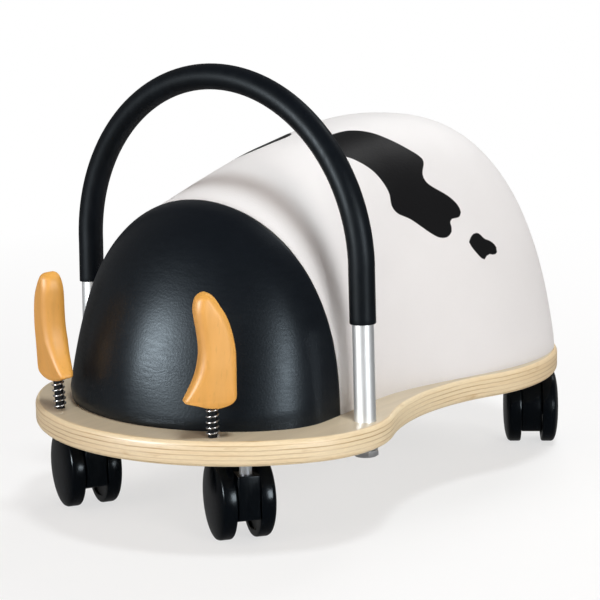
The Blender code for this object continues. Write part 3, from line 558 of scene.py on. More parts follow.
def varnished_wood(name):
    """Orange varnish over wood whose grain runs up the horn."""
    nodes = Nodes(name)
    tint = tuple(colours().horn)
    grain = nodes.noise(nodes.place(scale=(1, 1, 0.06)), 190.0, detail=5.0, roughness=0.6)
    broad = nodes.noise(nodes.place(scale=(1, 1, 0.14)), 60.0, detail=3.0, distortion=0.6)
    tinted = nodes.mottled(grain, 0.3, 0.7, tint, 0.9, 1.03)
    tinted = nodes.mix(nodes.range(broad, 0.38, 0.72, 0.0, 0.5), tinted, (0.88, 0.48, 0.13))
    flecks = nodes.noise(nodes.place(scale=(1, 1, 0.2)), 520.0, detail=2.0)
    tinted = nodes.mix(nodes.range(flecks, 0.62, 0.72, 0.0, 0.3), tinted, shade(tint, 0.7))
    fine = nodes.bump(grain, 0.05, 0.0003)
    nodes.set(Base_Color=tinted, Roughness=0.5, Normal=fine, Coat_Weight=0.1, Coat_Roughness=0.4)
    return nodes.made


def brushed_metal(name, tint, roughness, scale=(1, 1, 0.04), metallic=1.0):
    """Metal with fine lines. An even scale gives it none."""
    nodes = Nodes(name)
    lines = nodes.noise(nodes.place(scale=scale), 900.0, detail=4.0)
    cloud = nodes.noise(nodes.place(), 30.0, detail=2.0)
    tinted = nodes.mottled(cloud, 0.3, 0.7, tint, 0.96, 1.03)
    rough = nodes.range(lines, 0.3, 0.7, roughness - 0.02, roughness + 0.03)
    fine = nodes.bump(lines, 0.01, 0.0001)
    return nodes.set(Base_Color=tinted, Metallic=metallic, Roughness=rough, Normal=fine).made


def aluminium(name):
    return brushed_metal(name, tuple(colours().aluminium), 0.46, metallic=0.85)


def steel(name):
    return brushed_metal(name, tuple(colours().steel), 0.34, scale=(1, 1, 1), metallic=0.9)


def pin_steel(name):
    return brushed_metal(name, (0.55, 0.60, 0.66), 0.3, scale=(1, 1, 1), metallic=0.25)


def spring_steel(name):
    return brushed_metal(name, (0.50, 0.50, 0.51), 0.3, scale=(1, 1, 1))


def moulded(name, tint, roughness, grain):
    """Moulded plastic or rubber with the faint texture of its mould."""
    nodes = Nodes(name)
    cloud = nodes.noise(nodes.place(), 40.0, detail=3.0)
    texture = nodes.noise(nodes.place(), 1400.0, detail=2.0)
    scuffs = nodes.noise(nodes.place(scale=(1, 1, 0.3)), 220.0, detail=5.0, roughness=0.7)
    tinted = nodes.mottled(cloud, 0.35, 0.7, tint, 0.85, 1.25)
    rough = nodes.range(scuffs, 0.4, 0.75, roughness - 0.03, roughness + 0.1)
    fine = nodes.bump(texture, grain, 0.0002)
    nodes.set(Base_Color=tinted, Roughness=rough, Normal=fine)
    return nodes.set(Specular_IOR_Level=0.16, Specular_Tint=(0.8, 0.92, 1.0, 1.0)).made


def nylon(name):
    return moulded(name, tuple(colours().nylon), 0.2, 0.02)


def grip_rubber(name):
    return moulded(name, tuple(colours().grip), 0.44, 0.22)


def core_rubber(name):
    return moulded(name, tuple(colours().core), 0.5, 0.1)


def foam(name):
    return moulded(name, (0.86, 0.80, 0.58), 0.9, 0.4)


# The deck

SPLAY = math.radians(1.1)  # of the handle's legs
PLAY = 0.0002
HOLE_SIDES = 40
LEG_HOLE_DEPTH = 0.010
LEG_FOOT_DEPTH = 0.0097
BOLT_HOLE_RADIUS = 0.0033
POST_HOLE_RADIUS = 0.0026
NUT_RECESS_RADIUS, NUT_RECESS_TOP = 0.0048, -0.0101


def spin_to(centre, sweep, steps):
    """Carries the selected end of a line along an arc, anticlockwise for a positive sweep."""
    bpy.ops.mesh.spin(steps=steps, angle=-sweep, center=(*centre, DECK_LOW.z), axis=(0, 0, 1))


def deck_arcs():
    """(centre, start angle, end angle, steps) of the tangent arcs from the nose to the rear."""
    s = sizes()
    front, rear = DECK_LOW.y, DECK_HIGH.y
    ear = Vector((DECK_HIGH.x - s.ear_radius, front + s.ear_setback))
    nose_radius = (ear.x**2 + s.ear_setback**2 - s.ear_radius**2) / (2 * (s.ear_setback - s.ear_radius))
    nose = Vector((0.0, front + nose_radius))
    tail = Vector((0.0, rear - s.rear_width / 2))
    reach_ear, reach_tail = s.waist_radius + s.ear_radius, s.waist_radius + s.rear_width / 2
    between = tail - ear
    along = (reach_ear**2 - reach_tail**2 + between.length_squared) / (2 * between.length)
    aside = math.sqrt(reach_ear**2 - along**2)
    way = between.normalized()
    waist = ear + way * along + Vector((way.y, -way.x)) * aside
    ear_start = math.atan2(ear.y - nose.y, ear.x - nose.x)
    ear_end = math.atan2(waist.y - ear.y, waist.x - ear.x)
    tail_start = math.atan2(waist.y - tail.y, waist.x - tail.x)
    return [
        (nose, -math.pi / 2, ear_start, 28),
        (ear, ear_start, ear_end, 40),
        (waist, math.pi + ear_end, math.pi + tail_start, 40),
        (tail, tail_start, math.pi / 2, 56),
    ]


def leg_frame(side, height):
    """The straight leg of the handle at a height: origin on its axis, Z up along it."""
    s = sizes()
    rise = DECK_HIGH.z + s.hoop_rise - s.hoop_radius * math.sin(SPLAY) - height
    x = s.hoop_radius * math.cos(SPLAY) + rise * math.tan(SPLAY)
    return Matrix.Translation((side * x, DECK_LOW.y + s.handle_setback, height)) @ Matrix.Rotation(
        -side * SPLAY, 4, "Y"
    )


def horn_frame(side):
    """Where a horn's spring stands on the deck: Z along the spring, X away from the toe."""
    s = sizes()
    foot = (side * s.horn_spacing / 2, DECK_LOW.y + s.horn_setback, DECK_HIGH.z)
    heading = s.left_horn_turn if side > 0 else math.pi - s.right_horn_turn
    lean = Matrix.Rotation(side * s.horn_lean, 4, "X")
    return Matrix.Translation(foot) @ Matrix.Rotation(heading, 4, "Z") @ lean


def bored(piece, radius, matrix, low, high):
    """Cuts a round hole from low to high up the Z axis of a place."""
    return cut_out(piece, placed(cylinder("bore", HOLE_SIDES, radius, low, high), matrix))


class COW_OT_deck(bpy.types.Operator):
    """The plywood deck: tangent arcs, extruded, with rounded edges and its holes"""

    bl_idname = "cow.deck"
    bl_label = "Deck"

    def execute(self, context):
        s = sizes()
        deck = first_point("plywood_deck", (0.0, DECK_LOW.y, DECK_LOW.z))
        for centre, start, end, steps in deck_arcs():
            spin_to(centre, end - start, steps)
        bpy.ops.object.mode_set(mode="OBJECT")
        apply_modifier(deck, "MIRROR", merge_threshold=1e-5)
        edit(deck)
        bpy.ops.mesh.remove_doubles(threshold=1e-5)
        bpy.ops.mesh.edge_face_add()
        draw_to((0, 0, DECK_HIGH.z - DECK_LOW.z))
        solid(deck)
        apply_modifier(
            deck, "BEVEL", width=s.deck_rounding, segments=5, limit_method="ANGLE",
            angle_limit=math.radians(60), use_clamp_overlap=False,
        )
        for side in SIDES.values():
            foot, horn = leg_frame(side, DECK_HIGH.z - LEG_HOLE_DEPTH), horn_frame(side)
            bored(deck, s.tube_diameter / 2 + PLAY, foot, 0.0, 0.013)
            bored(deck, BOLT_HOLE_RADIUS, foot, -0.010, 0.001)
            bored(deck, POST_HOLE_RADIUS, horn, -0.011, 0.004)
            bored(deck, NUT_RECESS_RADIUS, horn, -0.02, NUT_RECESS_TOP)
        smooth(deck, 40)
        dressed(deck, "frame", finish("plywood", plywood), "plywood", "deck")
        return {"FINISHED"}


# The padding

# Each arch: how full it is across, how full upwards, and how much it narrows towards its top
SEAM_ARCH = (2.02, 2.97, 0.0)
NOSE_ARCH = (2.02, 2.97, 0.366)
BODY_ARCH = (2.616, 2.71, 0.1646)
LEAN_POWER = 1.6  # of the seam's lean over its height
NOSE_POWER, TAIL_POWER = 1.88, 2.21  # roundness of the padding's plan
CREST_POWER, CREST_ROOT = 2.37, 2.2  # roundness of the crest behind the crown
BACK_STATION = 0.075  # from the seam to where the back's height is taken
SETTLING = 1.603  # how soon behind the seam the arches reach the body's shape
HALF_SEAM = 0.0002  # half the gap at the seam
LAST_TURN = math.pi / 2 - 0.02  # the last arch stops short of the tip by this
MOST_SHRUNK = 0.4  # of an arch's own size
TUCK_FADE = 0.05  # the base's tuck fades out over this before the seam


def through_points(xs, ys, x, level=False, level_start=False):
    """A smooth curve through the points that never overshoots them, level at its ends if asked."""
    slopes = [(ys[i + 1] - ys[i]) / (xs[i + 1] - xs[i]) for i in range(len(xs) - 1)]
    tangents = [0.0 if level_start else slopes[0]]
    for before, after in zip(slopes, slopes[1:]):
        same_way = before * after > 0
        tangents.append(2 * before * after / (before + after) if same_way else 0.0)
    tangents.append(0.0 if level else slopes[-1])
    i = max(0, min(len(xs) - 2, sum(x > known for known in xs[1:])))
    step = xs[i + 1] - xs[i]
    t = (x - xs[i]) / step
    rise = (1 + 2 * t) * (1 - t) ** 2 * ys[i] + t * t * (3 - 2 * t) * ys[i + 1]
    return rise + step * (t * (1 - t) ** 2 * tangents[i] - t * t * (1 - t) * tangents[i + 1])


def nose_y():
    return DECK_LOW.y + sizes().nose_inset


def tail_y():
    return DECK_HIGH.y - sizes().rear_inset


def half_width(y):
    """Half the width of the padding's base at y."""
    s = sizes()
    widest = nose_y() + s.head_setback
    rear_centre = nose_y() + s.seam_setback + s.seat_back
    if y <= widest:
        share = min(1.0, (widest - y) / s.head_setback)
        return s.head_width / 2 * (1 - share**NOSE_POWER) ** (1 / NOSE_POWER)
    if y >= rear_centre:
        share = min(1.0, (y - rear_centre) / (tail_y() - rear_centre))
        return s.seat_width / 2 * (1 - share**TAIL_POWER) ** (1 / TAIL_POWER)
    seam = nose_y() + s.seam_setback
    stations = [widest, seam, seam + s.neck_back, rear_centre]
    widths = [s.head_width, s.seam_width, s.neck_width, s.seat_width]
    return through_points(stations, widths, y, level=True, level_start=True) / 2


def crest_height(y):
    """Height of the body's crest over the deck: up to the crown, then round down to the tail."""
    s = sizes()
    seam = nose_y() + s.seam_setback
    crown = seam + s.crown_back
    if y <= crown:
        heights = [s.seam_height, s.back_height, s.crown_height]
        return through_points([seam, seam + BACK_STATION, crown], heights, y, level=True)
    share = min(1.0, (y - crown) / (tail_y() - crown))
    return s.crown_height * (1 - share**CREST_POWER) ** (1 / CREST_ROOT)


def arch(y, wide, tall, shape, lean, steps):
    """An arch over the deck at y, leaning forward towards its top."""
    s = sizes()
    across, upwards, narrowing = shape
    ring = []
    for i in range(steps + 1):
        turned_by = math.pi * i / steps
        side, up = math.cos(turned_by), max(0.0, math.sin(turned_by))
        z = tall * up ** (2 / upwards)
        x = (wide - narrowing * z) * math.copysign(abs(side) ** (2 / across), side)
        forward = lean * s.seam_lean * (z / s.seam_height) ** LEAN_POWER
        ring.append(Vector((x, y - forward, DECK_HIGH.z + z)))
    return ring


def between(first, second, share):
    return [a + (b - a) * share for a, b in zip(first, second)]


def body_arches(inset, ahead, behind, steps):
    s = sizes()
    seam = nose_y() + s.seam_setback
    crown, tail = seam + s.crown_back, tail_y() - inset
    places = [seam + HALF_SEAM + (s.crown_back - HALF_SEAM) * i / ahead for i in range(ahead + 1)]
    places += [crown + (tail - crown) * math.sin(LAST_TURN * i / behind) for i in range(1, behind + 1)]
    rings = []
    for y in places:
        share = min(1.0, (y - seam) / s.seat_back)
        settled = min(1.0, SETTLING * share)
        shape = between(SEAM_ARCH, BODY_ARCH, settled * settled * (3 - 2 * settled))
        outer = y + inset * max(0.0, (y - crown) / (tail - crown))
        wide, tall = half_width(outer), crest_height(outer)
        shrunk = min(inset, MOST_SHRUNK * wide, MOST_SHRUNK * tall)
        rings.append(arch(y, wide - shrunk, tall - shrunk, shape, (1 - share) ** 1.5, steps))
    return rings


def head_arches(inset, ahead, steps):
    s = sizes()
    seam = nose_y() + s.seam_setback - HALF_SEAM
    rings = []
    for i in range(ahead + 1):
        share = math.sin(LAST_TURN * i / ahead)
        y = seam + (nose_y() + inset - seam) * share
        tall = s.seam_height * math.sqrt(1 - share**2)
        wide = half_width(y - inset * share)
        shrunk = min(inset, MOST_SHRUNK * wide, MOST_SHRUNK * tall)
        shape = between(SEAM_ARCH, NOSE_ARCH, share)
        rings.append(arch(y, wide - shrunk, tall - shrunk, shape, 1 - share, steps))
    return rings


def tucked(piece, base_tuck):
    """Rounds the cloth in where it meets the deck, less so near the seam, and along the seam."""
    s = sizes()
    mesh = piece.data
    normals = [vertex.normal.copy() for vertex in mesh.vertices]
    seam = nose_y() + s.seam_setback
    for vertex, normal in zip(mesh.vertices, normals):
        height = vertex.co.z - DECK_HIGH.z
        lean = seam - s.seam_lean * (max(0.0, height) / s.seam_height) ** LEAN_POWER
        from_seam = abs(vertex.co.y - lean)
        if height < s.base_turn:
            share = 1 - max(0.0, height) / s.base_turn
            part = base_tuck * min(1.0, from_seam / TUCK_FADE) * (1 - math.sqrt(1 - share**2))
            flat = Vector((normal.x, normal.y, 0.0))
            vertex.co -= flat.normalized() * part if flat.length > 1e-6 else flat
        if from_seam < s.seam_tuck * 2:
            depth = s.seam_tuck * (1 - from_seam / (s.seam_tuck * 2)) ** 2
            vertex.co -= normal * depth
    mesh.update()
    return piece


def uneven(piece, amount):
    """The slight unevenness of foam under tight cloth, fading to nothing at the deck."""
    mesh = piece.data
    normals = [vertex.normal.copy() for vertex in mesh.vertices]
    for vertex, normal in zip(mesh.vertices, normals):
        rise = min(1.0, max(0.0, (vertex.co.z - DECK_HIGH.z) / 0.03))
        swell = noise.noise(vertex.co * 14.0) + 0.4 * noise.noise(vertex.co * 37.0)
        vertex.co += normal * (amount * swell * rise - 0.4 * amount * rise)
    mesh.update()
    return piece


def cover(name, rings):
    """Cloth over the arches, closed at its far end, with its faces turned outwards; the padding gives it its
    thickness inwards afterwards.
    """
    made = lofted(name, rings, closed=False)
    bm = bmesh.new()
    bm.from_mesh(made.data)
    bm.verts.ensure_lookup_table()
    count = len(rings[0])
    last = [bm.verts[(len(rings) - 1) * count + i] for i in range(count)]
    bm.faces.new(last)
    bmesh.ops.recalc_face_normals(bm, faces=bm.faces)
    bm.normal_update()
    crest = bm.verts[(len(rings) // 2) * count + count // 2]
    if crest.normal.z < 0:
        bmesh.ops.reverse_faces(bm, faces=bm.faces)
    bm.to_mesh(made.data)
    bm.free()
    made.data.update()
    return made


# Outlines of the patches: (mm along the body from the deck's middle, degrees round it from the crest)
PATCHES = [
    [(-5.6, 7.8), (2.4, 7.6), (15.4, 9.1), (25.4, 13.2), (33.4, 18.6), (41.4, 24), (46.9, 27.8),
     (47.4, 30.2), (40.8, 33.9), (41.8, 37.7), (52.8, 43.5), (57.8, 47.3), (58.8, 50.6), (55.3, 52.3),
     (47.3, 52.4), (45.8, 56.2), (40.8, 58.1), (34.3, 57.5), (27.8, 54.5), (16.2, 47.2), (7.3, 43.4),
     (4.6, 40.0), (7.0, 35.4), (5.8, 30.2), (2.2, 25.6), (-5.6, 20.6), (-12.6, 17.6), (-16.6, 14.2),
     (-15.6, 10.1)],
    [(57.6, 62.0), (62.8, 60.0), (68.0, 60.3), (71.8, 62.9), (76.4, 64.3), (80.2, 66.4), (80.8, 69.0),
     (76.6, 69.9), (71.0, 69.1), (66.6, 70.7), (63.9, 69.9), (59.9, 66.6), (57.4, 63.6)],
    [(-37, -7.5), (-22, -5.6), (-8, -5.2), (1, -9), (5, -16), (2, -24), (8, -32), (4, -40), (-6, -43),
     (-14, -38), (-24, -40), (-34, -34), (-38, -25), (-46, -19), (-45, -12)],
    [(58, -44), (70, -41), (82, -44), (92, -51), (101, -53), (104, -60), (97, -66), (86, -67), (80, -74),
     (70, -76), (64, -69), (56, -66), (51, -57), (53, -49)],
    [(122, -8), (131, -4), (139, 3), (141, 13), (135, 20), (126, 19), (121, 12), (115, 5), (115, -3)],
]
CHART_AXIS = 0.110  # height of the line that the degrees are taken round
CHART_RADIUS = 0.100
PATCH_MARGIN = 0.008  # points further out than this all hold the same value


def passing(a, b, c, d, t):
    """The value at t of the way from b to c, on a smooth curve through a, b, c and d."""
    bend = 2 * a - 5 * b + 4 * c - d
    return 0.5 * (2 * b + (c - a) * t + bend * t * t + (3 * b - a - 3 * c + d) * t**3)


def closed_curve(points, steps=8):
    """A smooth closed curve through the points."""
    count = len(points)
    curve = []
    for i in range(count):
        a, b, c, d = (Vector(points[(i + k) % count]) for k in (-1, 0, 1, 2))
        for j in range(steps):
            t = j / steps
            curve.append(passing(a, b, c, d, t))
    return curve


def inside_by(point, curve):
    """Distance from a point to a closed curve, positive inside."""
    nearest, inside = 1e9, False
    for a, b in zip(curve, curve[1:] + curve[:1]):
        way = b - a
        t = max(0.0, min(1.0, (point - a).dot(way) / max(way.length_squared, 1e-18)))
        nearest = min(nearest, (a + way * t - point).length_squared)
        if (a.y > point.y) != (b.y > point.y):
            if point.x < a.x + (point.y - a.y) / (b.y - a.y) * (b.x - a.x):
                inside = not inside
    return math.sqrt(nearest) * (1 if inside else -1)


def mark_patches(piece):
    """Stores how far inside a patch each point of the body lies."""
    degree = CHART_RADIUS * math.pi / 180
    curves = []
    for outline in PATCHES:
        curve = closed_curve([(y / 1000, angle * degree) for y, angle in outline])
        xs, ys = [p.x for p in curve], [p.y for p in curve]
        curves.append((curve, min(xs), max(xs), min(ys), max(ys)))
    attribute = piece.data.attributes.new("patch", "FLOAT", "POINT")
    for i, vertex in enumerate(piece.data.vertices):
        co = vertex.co
        point = Vector((co.y, math.atan2(co.x, co.z - CHART_AXIS) * CHART_RADIUS))
        best = -PATCH_MARGIN
        for curve, low_x, high_x, low_y, high_y in curves:
            near_x = low_x - PATCH_MARGIN < point.x < high_x + PATCH_MARGIN
            if near_x and low_y - PATCH_MARGIN < point.y < high_y + PATCH_MARGIN:
                best = max(best, inside_by(point, curve))
        attribute.data[i].value = best


FOAM_GAP = 0.0014  # between the foam and its cloth
FOAM_FOOT = 0.0098  # height of the foam's flat underside over the deck
UNEVENNESS = 0.0004
BODY_TUCK = 0.0005


class COW_OT_padding(bpy.types.Operator):
    """The padded head and body: leathercloth over one block of foam, with a seam between them"""

    bl_idname = "cow.padding"
    bl_label = "Padding"

    def execute(self, context):
        s = sizes()
        foam_inset = s.cloth_thickness + FOAM_GAP
        body = tucked(uneven(cover("body_cloth", body_arches(0.0, 100, 70, 150)), UNEVENNESS), BODY_TUCK)
        mark_patches(body)
        head = tucked(uneven(cover("head_cloth", head_arches(0.0, 90, 150)), UNEVENNESS), s.base_tuck)
        for cloth in (body, head):
            apply_modifier(cloth, "SOLIDIFY", thickness=s.cloth_thickness, offset=-1.0)
            smooth(cloth, 60)
        dressed(body, "frame", finish("white_cloth", white_cloth), "white_cover", "body_cover")
        dressed(head, "frame", finish("black_cloth", black_cloth), "black_cover", "head_cover")
        front = head_arches(foam_inset, 16, 40)
        rings = list(reversed(front[1:])) + body_arches(foam_inset, 20, 14, 40)
        block = lofted("foam_block", rings)
        edit(block)
        bpy.ops.mesh.bisect(
            plane_co=(0, 0, DECK_HIGH.z + FOAM_FOOT), plane_no=(0, 0, 1), use_fill=True, clear_inner=True
        )
        bpy.ops.object.mode_set(mode="OBJECT")
        smooth(block)
        dressed(block, "frame", finish("foam", foam), "foam", "seat_foam")
        return {"FINISHED"}


# The handle

LEG_ROWS = 10
BEND_STEPS = 72
TUBE_SIDES = 56
TUBE_WALL = 0.0015
ROUNDED_EDGE = {"width": 0.0005, "segments": 3, "limit_method": "ANGLE", "angle_limit": math.radians(50)}


def swept(name, radius, lowest, lowest_right=None):
    """A tube wall along the hoop from the left leg down to the right one, open at both ends."""
    s = sizes()
    nothing_selected()
    bpy.ops.mesh.primitive_circle_add(vertices=TUBE_SIDES, radius=radius, fill_type="NOTHING")
    made = named(name)
    placed(made, leg_frame(1, lowest))
    edit(made)
    start, level = leg_frame(1, lowest).translation, DECK_HIGH.z + s.hoop_rise
    bend = Vector((s.hoop_radius * math.cos(SPLAY), start.y, level - s.hoop_radius * math.sin(SPLAY)))
    for i in range(LEG_ROWS):
        draw_to((bend - start) / LEG_ROWS)
    bpy.ops.mesh.spin(
        steps=BEND_STEPS, angle=math.pi + 2 * SPLAY, center=(0.0, start.y, level), axis=(0, 1, 0)
    )
    other = leg_frame(-1, lowest if lowest_right is None else lowest_right).translation
    down = other - Vector((-bend.x, bend.y, bend.z))
    for i in range(LEG_ROWS):
        draw_to(down / LEG_ROWS)
    return solid(made, MERGE)


class COW_OT_handle(bpy.types.Operator):
    """The hoop handle: a bent tube with a grip over it"""

    bl_idname = "cow.handle"
    bl_label = "Handle"

    def execute(self, context):
        s = sizes()
        radius = s.tube_diameter / 2
        tube = swept("hoop_tube", radius, DECK_HIGH.z - LEG_FOOT_DEPTH)
        apply_modifier(tube, "SOLIDIFY", thickness=TUBE_WALL, offset=-1.0)
        smooth(tube)
        dressed(tube, "frame", finish("aluminium", aluminium), "tube", "handle_tube")
        low = DECK_HIGH.z + s.grip_rise
        grip = swept("hoop_grip", radius + PLAY + s.grip_thickness, low, low + s.grip_shift)
        apply_modifier(grip, "SOLIDIFY", thickness=s.grip_thickness, offset=-1.0)
        apply_modifier(grip, "BEVEL", **ROUNDED_EDGE)
        smooth(grip)
        dressed(grip, "frame", finish("grip", grip_rubber), "grip", "handle_grip")
        return {"FINISHED"}


# Bolts, screws and nuts

# Profiles, as (radius, height) pairs
WASHER = [(0.0033, -0.0003), (0.0071, -0.0003), (0.0073, -0.0005), (0.0073, -0.0013), (0.0071, -0.0015),
          (0.0033, -0.0015), (0.0033, -0.0003)]
SHANK = [(0, -0.0022), (0.0029, -0.0022), (0.0029, 0.0200), (0.0024, 0.0206), (0, 0.0206)]
PLUG = [(0.0032, 0), (0.0043, 0), (0.0046, 0.0004), (0.0046, 0.0216), (0.0043, 0.0220), (0.0032, 0.0220),
        (0.0032, 0)]
SCREW = [(0, -0.0026), (0.0014, -0.00255), (0.0028, -0.0021), (0.0038, -0.0012), (0.00425, -0.0003),
         (0.00425, 0.0), (0.0020, 0.0), (0.0020, 0.0205), (0.0004, 0.0219), (0, 0.0219)]
BOLT_HEAD_RADIUS, BOLT_HEAD_LOW, BOLT_HEAD_HIGH = 0.0077, -0.0059, -0.0021
BOLT_HEAD_TURN = math.radians(-12)
SLOT_SIZE, SLOT_HEIGHT = (0.0044, 0.0009, 0.0022), -0.0024
SCREW_SINK = 0.0003
SCREW_TURN = 60.0  # radians per metre off the middle, so that the slots don't all line up
CORNER_CUT = 0.0009
HEX_ROUNDING = 0.0002


def hexagon(name, radius, low, high):
    """A hexagonal head or nut with turned-down corners."""
    made = cylinder(name, 6, radius, low, high)
    flat, wide = radius * 0.86, radius * 1.01
    corner = turned("corner", [
        (0, high), (flat, high), (wide, high - CORNER_CUT), (wide, low + CORNER_CUT), (flat, low),
        (0, low)], 48)
    apply_modifier(made, "BOOLEAN", operation="INTERSECT", solver="EXACT", object=corner)
    removed(corner)
    return apply_modifier(made, "BEVEL", width=HEX_ROUNDING, segments=2, limit_method="ANGLE")


def joined(pieces, name):
    nothing_selected()
    for piece in pieces:
        piece.select_set(True)
    bpy.context.view_layer.objects.active = pieces[0]
    bpy.ops.object.join()
    return named(name)


def slotted_screw(name):
    screw = turned(name, SCREW, 40)
    for turn in (0.0, math.pi / 2):
        nothing_selected()
        bpy.ops.mesh.primitive_cube_add(size=1, location=(0, 0, SLOT_HEIGHT))
        slot = named("slot")
        slot.scale = SLOT_SIZE
        bpy.ops.object.transform_apply(location=True, rotation=True, scale=True)
        cut_out(screw, placed(slot, Matrix.Rotation(turn, 4, "Z")))
    return screw


class COW_OT_fastenings(bpy.types.Operator):
    """The bolts, washers and plugs under the handle, and the screws into the seat board"""

    bl_idname = "cow.fastenings"
    bl_label = "Fastenings"

    def execute(self, context):
        metal = finish("steel", steel)
        under = DECK_LOW.z
        for word, side in SIDES.items():
            seat = leg_frame(side, under)
            washer = turned(f"leg_washer_{word}", WASHER, 48)
            smooth(placed(washer, Matrix.Translation(seat.translation)))
            dressed(washer, "frame", metal, "steel", f"handle_washer_{word}")
            head = hexagon("head", BOLT_HEAD_RADIUS, BOLT_HEAD_LOW, BOLT_HEAD_HIGH)
            placed(head, Matrix.Rotation(BOLT_HEAD_TURN, 4, "Z"))
            shank = turned("shank", SHANK, 32)
            bolt = smooth(placed(joined([head, shank], f"leg_bolt_{word}"), seat))
            dressed(bolt, "frame", metal, "steel", f"handle_bolt_{word}")
            plug = turned(f"leg_plug_{word}", PLUG, 40)
            smooth(placed(plug, leg_frame(side, DECK_HIGH.z - LEG_FOOT_DEPTH)))
            dressed(plug, "frame", metal, "steel", f"handle_plug_{word}")
        for part in ("head", "waist", "rump"):
            for word in SIDES:
                low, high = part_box(f"screw_{part}_{word}")
                centre = (low + high) / 2
                place = Matrix.Translation((centre.x, centre.y, under - SCREW_SINK))
                turn = Matrix.Rotation(SCREW_TURN * centre.x, 4, "Z")
                screw = smooth(placed(slotted_screw(f"board_screw_{part}_{word}"), place @ turn))
                dressed(screw, "frame", metal, "steel", f"screw_{part}_{word}")
        return {"FINISHED"}


# The horns

# The board's two edges from its foot up, in mm, and its thickness as a share of the full one
HOLLOW_EDGE = [(-5.0, 0.0), (-10.6, 1.9), (-16.9, 4.4), (-14.5, 9.2), (-11.0, 16.3), (-8.6, 24.0),
               (-7.6, 33.0),
               (-8.5, 43.0), (-10.0, 51.5), (-10.8, 57.5), (-10.2, 62.3), (-8.6, 64.8), (-6.2, 66.4)]
BULGING_EDGE = [(7.0, 0.0), (10.6, 1.9), (12.7, 5.2), (13.1, 10.4), (13.2, 17.4), (13.3, 25.4), (12.8, 34.4),
                (10.7, 44.6), (7.6, 53.2), (4.0, 59.3), (1.2, 63.8), (-1.3, 65.8), (-3.8, 66.8)]
THICKNESS_SHARE = [0.62, 0.82, 0.96, 1.0, 1.0, 1.0, 1.0, 1.0, 0.985, 0.93, 0.83, 0.67, 0.42]
DRAWN_HEIGHT = 66.8
TOE = 2  # the point of the hollow edge at the toe's tip
TOE_REACH = 3  # points over which the toe's corners and thinning fade
TOE_CORNER, CORNER_GROWTH, TOE_THINNING = 0.0030, 0.0026, 0.42
SLICES = 6  # from one point to the next
CORNER_STEPS = 10
SPRING_TURNS = 2.5  # in each half
COIL_STEPS = int(36 * SPRING_TURNS)
CORE_RADIUS, CORE_END_RADIUS, CORE_FOOT = 0.0027, 0.0024, -0.0144
HORN_SEAT = 0.0003
NUT_RADIUS, NUT_LOW, NUT_HIGH = 0.0045, -0.0136, -0.0105


def slab_ring(near, far, half_thickness, widest_corner, taper):
    """A flat slice with rounded corners between two edges of the horn, thinner at the near one."""
    reach = (far - near).length
    way = (far - near).normalized()
    points = []
    for sign_x, sign_y, start in ((1, 1, 0), (-1, 1, 90), (-1, -1, 180), (1, -1, 270)):
        half = half_thickness * (taper if sign_x < 0 else 1.0)
        corner = min(widest_corner, 0.48 * reach, 0.97 * half)
        centre = (near + far) / 2 + way * sign_x * (reach / 2 - corner)
        centre.y += sign_y * (half - corner)
        for step in range(CORNER_STEPS + 1):
            turn = math.radians(start + 90 * step / CORNER_STEPS)
            out = Vector((0, corner * math.sin(turn), 0))
            points.append(centre + way * corner * math.cos(turn) + out)
    return points


def horn_shape(name):
    """A horn from slices of its board. The hollow edge turns sharply at the toe, so its curve
    overshoots no point there."""
    s = sizes()
    unit = s.horn_height / DRAWN_HEIGHT
    at = [float(i) for i in range(len(HOLLOW_EDGE))]

    def tight(values, u):
        return through_points(at, values, u)

    def spline(values, u):
        i = min(len(values) - 2, int(u))
        before, after = values[max(0, i - 1)], values[min(len(values) - 1, i + 2)]
        return passing(before, values[i], values[i + 1], after, u - i)

    def edge_point(edge, curve, u):
        return Vector((curve([x for x, z in edge], u), 0, curve([z for x, z in edge], u))) * unit

    rings = []
    for k in range((len(at) - 1) * SLICES + 1):
        u = k / SLICES
        near = edge_point(HOLLOW_EDGE, tight if u < TOE + 1 else spline, u)
        far = edge_point(BULGING_EDGE, spline, u)
        away = min(1.0, abs(u - TOE) / TOE_REACH)
        half = s.horn_thickness * tight(THICKNESS_SHARE, u) / 2
        corner = TOE_CORNER + CORNER_GROWTH * away
        rings.append(slab_ring(near, far, half, corner, 1.0 - TOE_THINNING * (1.0 - away)))
    made = lofted(name, rings)
    edit(made)
    return solid(made, MERGE)


def coil(name, low, high, start):
    """Half of the spring: a wire's section carried round and up by a screw."""
    s = sizes()
    wire = s.spring_wire / 2
    nothing_selected()
    bpy.ops.mesh.primitive_circle_add(vertices=12, radius=wire, fill_type="NOTHING")
    foot = Matrix.Translation((s.spring_outside / 2 - wire, 0, low))
    made = placed(named(name), foot @ Matrix.Rotation(math.pi / 2, 4, "X"))
    apply_modifier(
        made, "SCREW", angle=2 * math.pi * SPRING_TURNS, screw_offset=high - low, iterations=1,
        steps=COIL_STEPS, render_steps=COIL_STEPS, axis="Z", use_merge_vertices=False,
        use_normal_calculate=True,
    )
    edit(made, everything=False)
    bpy.ops.mesh.select_non_manifold()
    bpy.ops.mesh.edge_face_add()
    return placed(solid(made), Matrix.Rotation(start, 4, "Z"))


